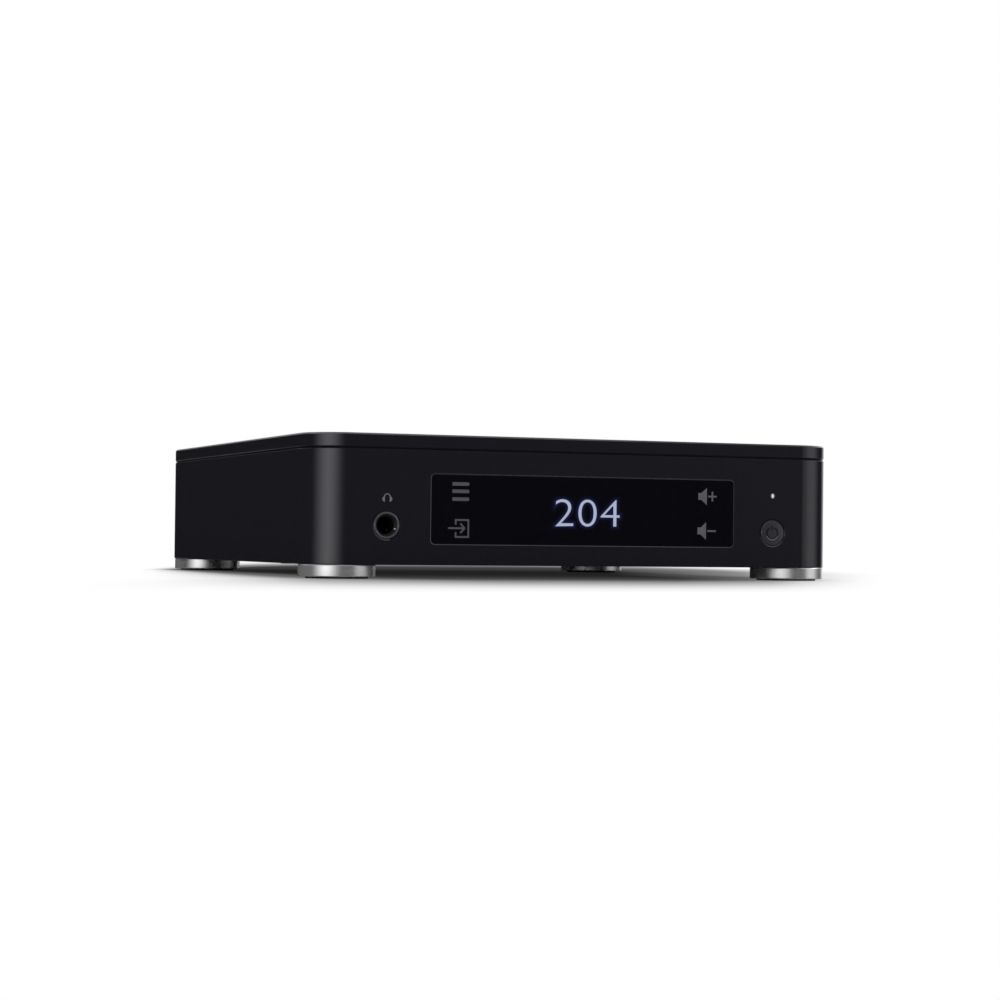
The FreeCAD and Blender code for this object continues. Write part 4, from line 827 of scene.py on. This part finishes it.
def floor_shade(nodes, links):
    """The floor's brightness round the object: a painted shade, laid out by the distances from the footprint.

    It is soft in front and leans to the front left, as from a wide light behind, and it is deep under
    the object and leans to the rear right. Close to the object it is a little darker still.
    """
    place = nodes.new("ShaderNodeTexCoord")
    parts = nodes.new("ShaderNodeSeparateXYZ")
    links.new(place.outputs["Object"], parts.inputs["Vector"])
    x, y = parts.outputs["X"], parts.outputs["Y"]

    def number(operation, *values):
        return number_node(nodes, links, operation, *values)

    def rest_of(share):
        return number("SUBTRACT", 1.0, share)

    inward = number("SUBTRACT", y, FRONT_Y)
    ahead = number("MINIMUM", 0.0, inward)
    behind = number("MAXIMUM", 0.0, number("SUBTRACT", y, case_high.y))

    left_edge = number("MULTIPLY_ADD", ahead, LEFT_LEAN, case_low.x)
    left_edge = number("MULTIPLY_ADD", behind, LEFT_LEAN_BEHIND, left_edge)
    front_fade = LEFT_FADE_FORWARD * (case_high.y - FRONT_Y) + LEFT_FADE
    left_fade = number("MULTIPLY_ADD", inward, -LEFT_FADE_FORWARD, front_fade)
    left_fade = number("MAXIMUM", LEFT_FADE, left_fade)
    left_fade = number("MULTIPLY_ADD", behind, LEFT_FADE_BEHIND, left_fade)
    left = number("DIVIDE", number("SUBTRACT", left_edge, x), left_fade)

    right_fade = number("MULTIPLY_ADD", inward, RIGHT_FADE_BACK, RIGHT_FADE)
    right_fade = number("MINIMUM", RIGHT_FADE_MOST, number("MAXIMUM", RIGHT_FADE_LEAST, right_fade))
    right_edge = number("MULTIPLY_ADD", inward, RIGHT_LEAN, case_high.x + RIGHT_OUT)
    right_edge = number("SMOOTH_MIN", right_edge, case_high.x + RIGHT_FARTHEST, RIGHT_BLEND)
    right_edge = number("MULTIPLY_ADD", right_fade, -RIGHT_FADE_IN, right_edge)
    right = number("DIVIDE", number("SUBTRACT", x, right_edge), right_fade)

    kept = number("MULTIPLY", rest_of(graded(nodes, links, left, SHADE_SIDE)),
                  rest_of(graded(nodes, links, right, SHADE_SIDE)))
    level = graded(nodes, links, inward, SHADE_DEEP)
    wide = rest_of(number("MULTIPLY", rest_of(level), kept))

    near = nodes.new("ShaderNodeAmbientOcclusion")
    near.samples = CONTACT_SAMPLES
    near.inputs["Distance"].default_value = CONTACT_REACH
    contact = eased(nodes, links, near.outputs["AO"], CONTACT_CLOSED, CONTACT_OPEN, CONTACT_DARK, 0.0)
    weight = number("MULTIPLY_ADD", kept, 1 - CONTACT_OUTSIDE, CONTACT_OUTSIDE)
    close = rest_of(number("MULTIPLY", contact, weight))
    return number("MULTIPLY", wide, close)


def floor():
    """A white floor that shows a painted shade round the object from above and lets a view from below pass.
    """
    shape = bmesh.new()
    bmesh.ops.create_grid(shape, x_segments=1, y_segments=1, size=FLOOR_REACH)
    mesh = bpy.data.meshes.new("floor")
    shape.to_mesh(mesh)
    shape.free()
    material = bpy.data.materials.new("floor_white")
    material.use_nodes = True
    nodes, links = graph(material)
    shader = principled(material)
    shader.inputs["Base Color"].default_value = (0.8, 0.8, 0.8, 1)
    shader.inputs["Roughness"].default_value = 0.9
    shader.inputs["Specular IOR Level"].default_value = 0.0
    shade = floor_shade(nodes, links)
    seen = nodes.new("ShaderNodeEmission")
    links.new(shade, seen.inputs["Color"])
    dark = nodes.new("ShaderNodeEmission")
    dark.inputs["Strength"].default_value = 0.0
    open_floor = nodes.new("ShaderNodeBsdfTransparent")
    path = nodes.new("ShaderNodeLightPath")
    side = nodes.new("ShaderNodeNewGeometry")

    def either(share, first, second):
        mixed = nodes.new("ShaderNodeMixShader")
        links.new(share, mixed.inputs["Fac"])
        links.new(first.outputs[0], mixed.inputs[1])
        links.new(second.outputs[0], mixed.inputs[2])
        return mixed

    mirrored = either(shade, dark, open_floor)
    direct = number_node(nodes, links, "MAXIMUM", path.outputs["Is Camera Ray"],
                         path.outputs["Is Transmission Ray"])
    from_below = number_node(nodes, links, "MULTIPLY", side.outputs["Backfacing"], direct)
    whole = either(direct, either(path.outputs["Is Glossy Ray"], shader, mirrored), seen)
    whole = either(from_below, whole, open_floor)
    links.new(whole.outputs["Shader"], nodes["Material Output"].inputs["Surface"])
    mesh.materials.append(material)
    plane = bpy.data.objects.new("floor", mesh)
    bpy.context.scene.collection.objects.link(plane)


def studio():
    """White where it is seen, even light on the object, and soft boxes in an unlit room for mirrors."""
    world = bpy.data.worlds.new("studio")
    bpy.context.scene.world = world
    world.use_nodes = True
    nodes, links = graph(world)
    ground = nodes["Background"]
    ground.inputs["Color"].default_value = (1, 1, 1, 1)

    def number(operation, *values):
        return number_node(nodes, links, operation, *values)

    def between(share, low, high):
        return number("MULTIPLY_ADD", share, number("SUBTRACT", high, low), low)

    def step(angle, start, end):
        return eased(nodes, links, angle, math.radians(start), math.radians(end))

    place = nodes.new("ShaderNodeTexCoord")
    parts = nodes.new("ShaderNodeSeparateXYZ")
    links.new(place.outputs["Generated"], parts.inputs["Vector"])
    heading = number("ARCTAN2", parts.outputs["X"], number("MULTIPLY", parts.outputs["Y"], -1.0))
    height = number("ARCSINE", parts.outputs["Z"])
    room = ROOM_LEVEL
    for rise_start, rise_end, fall_start, fall_end, strength in SOFT_BOXES:
        box = number("MULTIPLY", step(heading, rise_start, rise_end), step(heading, fall_end, fall_start))
        room = number("MULTIPLY_ADD", box, strength, room)
    side = number("MULTIPLY", step(heading, *SIDE_STEP), step(heading, *SIDE_END_STEP))
    rear = step(number("ABSOLUTE", heading), *REAR_STEP)
    upper = number("MULTIPLY_ADD", side, SIDE_LEVEL, UPPER_LEVEL)
    upper = number("MULTIPLY_ADD", rear, REAR_LEVEL, upper)
    room = between(step(number("ABSOLUTE", height), *ABOVE_STEP), room, upper)
    room = between(step(height, *ZENITH_STEP), room, ZENITH_LEVEL)
    room = between(step(height, *BELOW_STEP), room, BELOW_LEVEL)
    path = nodes.new("ShaderNodeLightPath")
    seen = number("MAXIMUM", path.outputs["Is Camera Ray"], path.outputs["Is Transmission Ray"])
    level = between(path.outputs["Is Glossy Ray"], ROOM_LIGHT, room)
    level = between(seen, level, 1.0)
    links.new(level, ground.inputs["Strength"])


def soft_lamp(name, place, width, depth, energy):
    """A wide soft lamp that looks at the object."""
    lamp = bpy.data.lights.new(name, "AREA")
    lamp.shape = "RECTANGLE"
    lamp.size = width
    lamp.size_y = depth
    lamp.energy = energy
    box = bpy.data.objects.new(name, lamp)
    box.location = place
    box.rotation_euler = (-Vector(place)).to_track_quat("-Z", "Y").to_euler()
    box.visible_camera = False
    bpy.context.scene.collection.objects.link(box)


def camera():
    """The photograph's view, from a place, a heading, a tilt and a small roll."""
    forward = Vector((math.sin(CAMERA_YAW) * math.cos(CAMERA_PITCH),
                      math.cos(CAMERA_YAW) * math.cos(CAMERA_PITCH), math.sin(CAMERA_PITCH)))
    level = Vector((math.cos(CAMERA_YAW), -math.sin(CAMERA_YAW), 0))
    upright = level.cross(forward)
    right = math.cos(CAMERA_ROLL) * level + math.sin(CAMERA_ROLL) * upright
    up = math.cos(CAMERA_ROLL) * upright - math.sin(CAMERA_ROLL) * level
    lens = bpy.data.cameras.new("camera")
    lens.sensor_width = SENSOR_WIDTH
    lens.lens = SENSOR_WIDTH * FOCAL_PIXELS / PHOTO_SIZE
    lens.clip_start = NEAR_CLIP
    holder = bpy.data.objects.new("camera", lens)
    turn = Matrix((right, up, -forward)).transposed().to_4x4()
    holder.matrix_world = Matrix.Translation(CAMERA_PLACE) @ turn
    bpy.context.scene.collection.objects.link(holder)
    bpy.context.scene.camera = holder


finishes = dress_frame()
sign_ink = surface("sign_ink", (0.098, 0.096, 0.105), 0.6, depth=0, specular=0.1)
# Ink for the loudspeaker signs, also the painted highlight on the button hole's lip
bright_ink_and_highlight = surface("bright_ink_and_highlight", (0.125, 0.123, 0.132), 0.6, depth=0, specular=0.1)
# Painted highlight on the jack hole's lip
jack_lip_painted_highlight = surface("jack_lip_painted_highlight", (0.12, 0.117, 0.128), 0.6, depth=0, specular=0.1)
# Near-black for the sunk power sign: painted shade in its groove
symbol_painted_shade = surface("symbol_painted_shade", (0.003, 0.003, 0.004), 0.6, depth=0, specular=0.05)
# Pale ink for the headphone sign, also the painted highlight on the power sign's groove
pale_ink_and_painted_highlight = surface("pale_ink_and_painted_highlight", (0.165, 0.162, 0.176), 0.5, depth=0, specular=0.2)
edge_metal = surface("edge_metal", (0.029, 0.028, 0.034), 0.3, depth=0, specular=0.85)
# Near-black for the ring of painted shade in the seam
seam_painted_shade = surface("seam_painted_shade", (0.004, 0.004, 0.005), 0.8, depth=0, specular=0.1)
jack_metal = surface("jack_metal", (0.056, 0.053, 0.067), 0.2, depth=0, specular=1.0)
contact_metal = surface("contact_metal", (0.85, 0.85, 0.86), 0.25, metallic=1.0, depth=0)
black_screw = surface("black_screw", (0.02, 0.02, 0.022), 0.35, metallic=0.8)

menu_sign(sign_ink)
input_sign(sign_ink)
speaker_sign("louder_sign", LOUDER_X, LOUDER_Z, True, bright_ink_and_highlight)
speaker_sign("quieter_sign", QUIETER_X, QUIETER_Z, False, bright_ink_and_highlight)
phones_sign(pale_ink_and_painted_highlight)
power_sign(symbol_painted_shade, pale_ink_and_painted_highlight)
lit_number()
window_trim(edge_metal)
turned_feet(finishes["polished_aluminium"])
domed_button(finishes["button_black"])
jack_ring(jack_metal)
contact_tip(contact_metal)
# Painted highlights on the lower lips of the button's and the jack's holes
painted_lip_highlight("button_hole_painted_highlight", BUTTON_X, BUTTON_Z, 195, 325, bright_ink_and_highlight)
painted_lip_highlight("jack_hole_painted_highlight", JACK_X, JACK_Z, 175, 285, jack_lip_painted_highlight)
seam_shade_ring(seam_painted_shade)
phono_sleeves(finishes["gold_plate"])
screws(black_screw)

floor()
studio()
soft_lamp("overhead", place=(0, 0.5, 1.6), width=1.6, depth=1.2, energy=5)
soft_lamp("high_right", place=(1.96, -0.17, 1.0), width=1.1, depth=0.5, energy=4)
camera()

bpy.context.scene.view_settings.view_transform = "Standard"
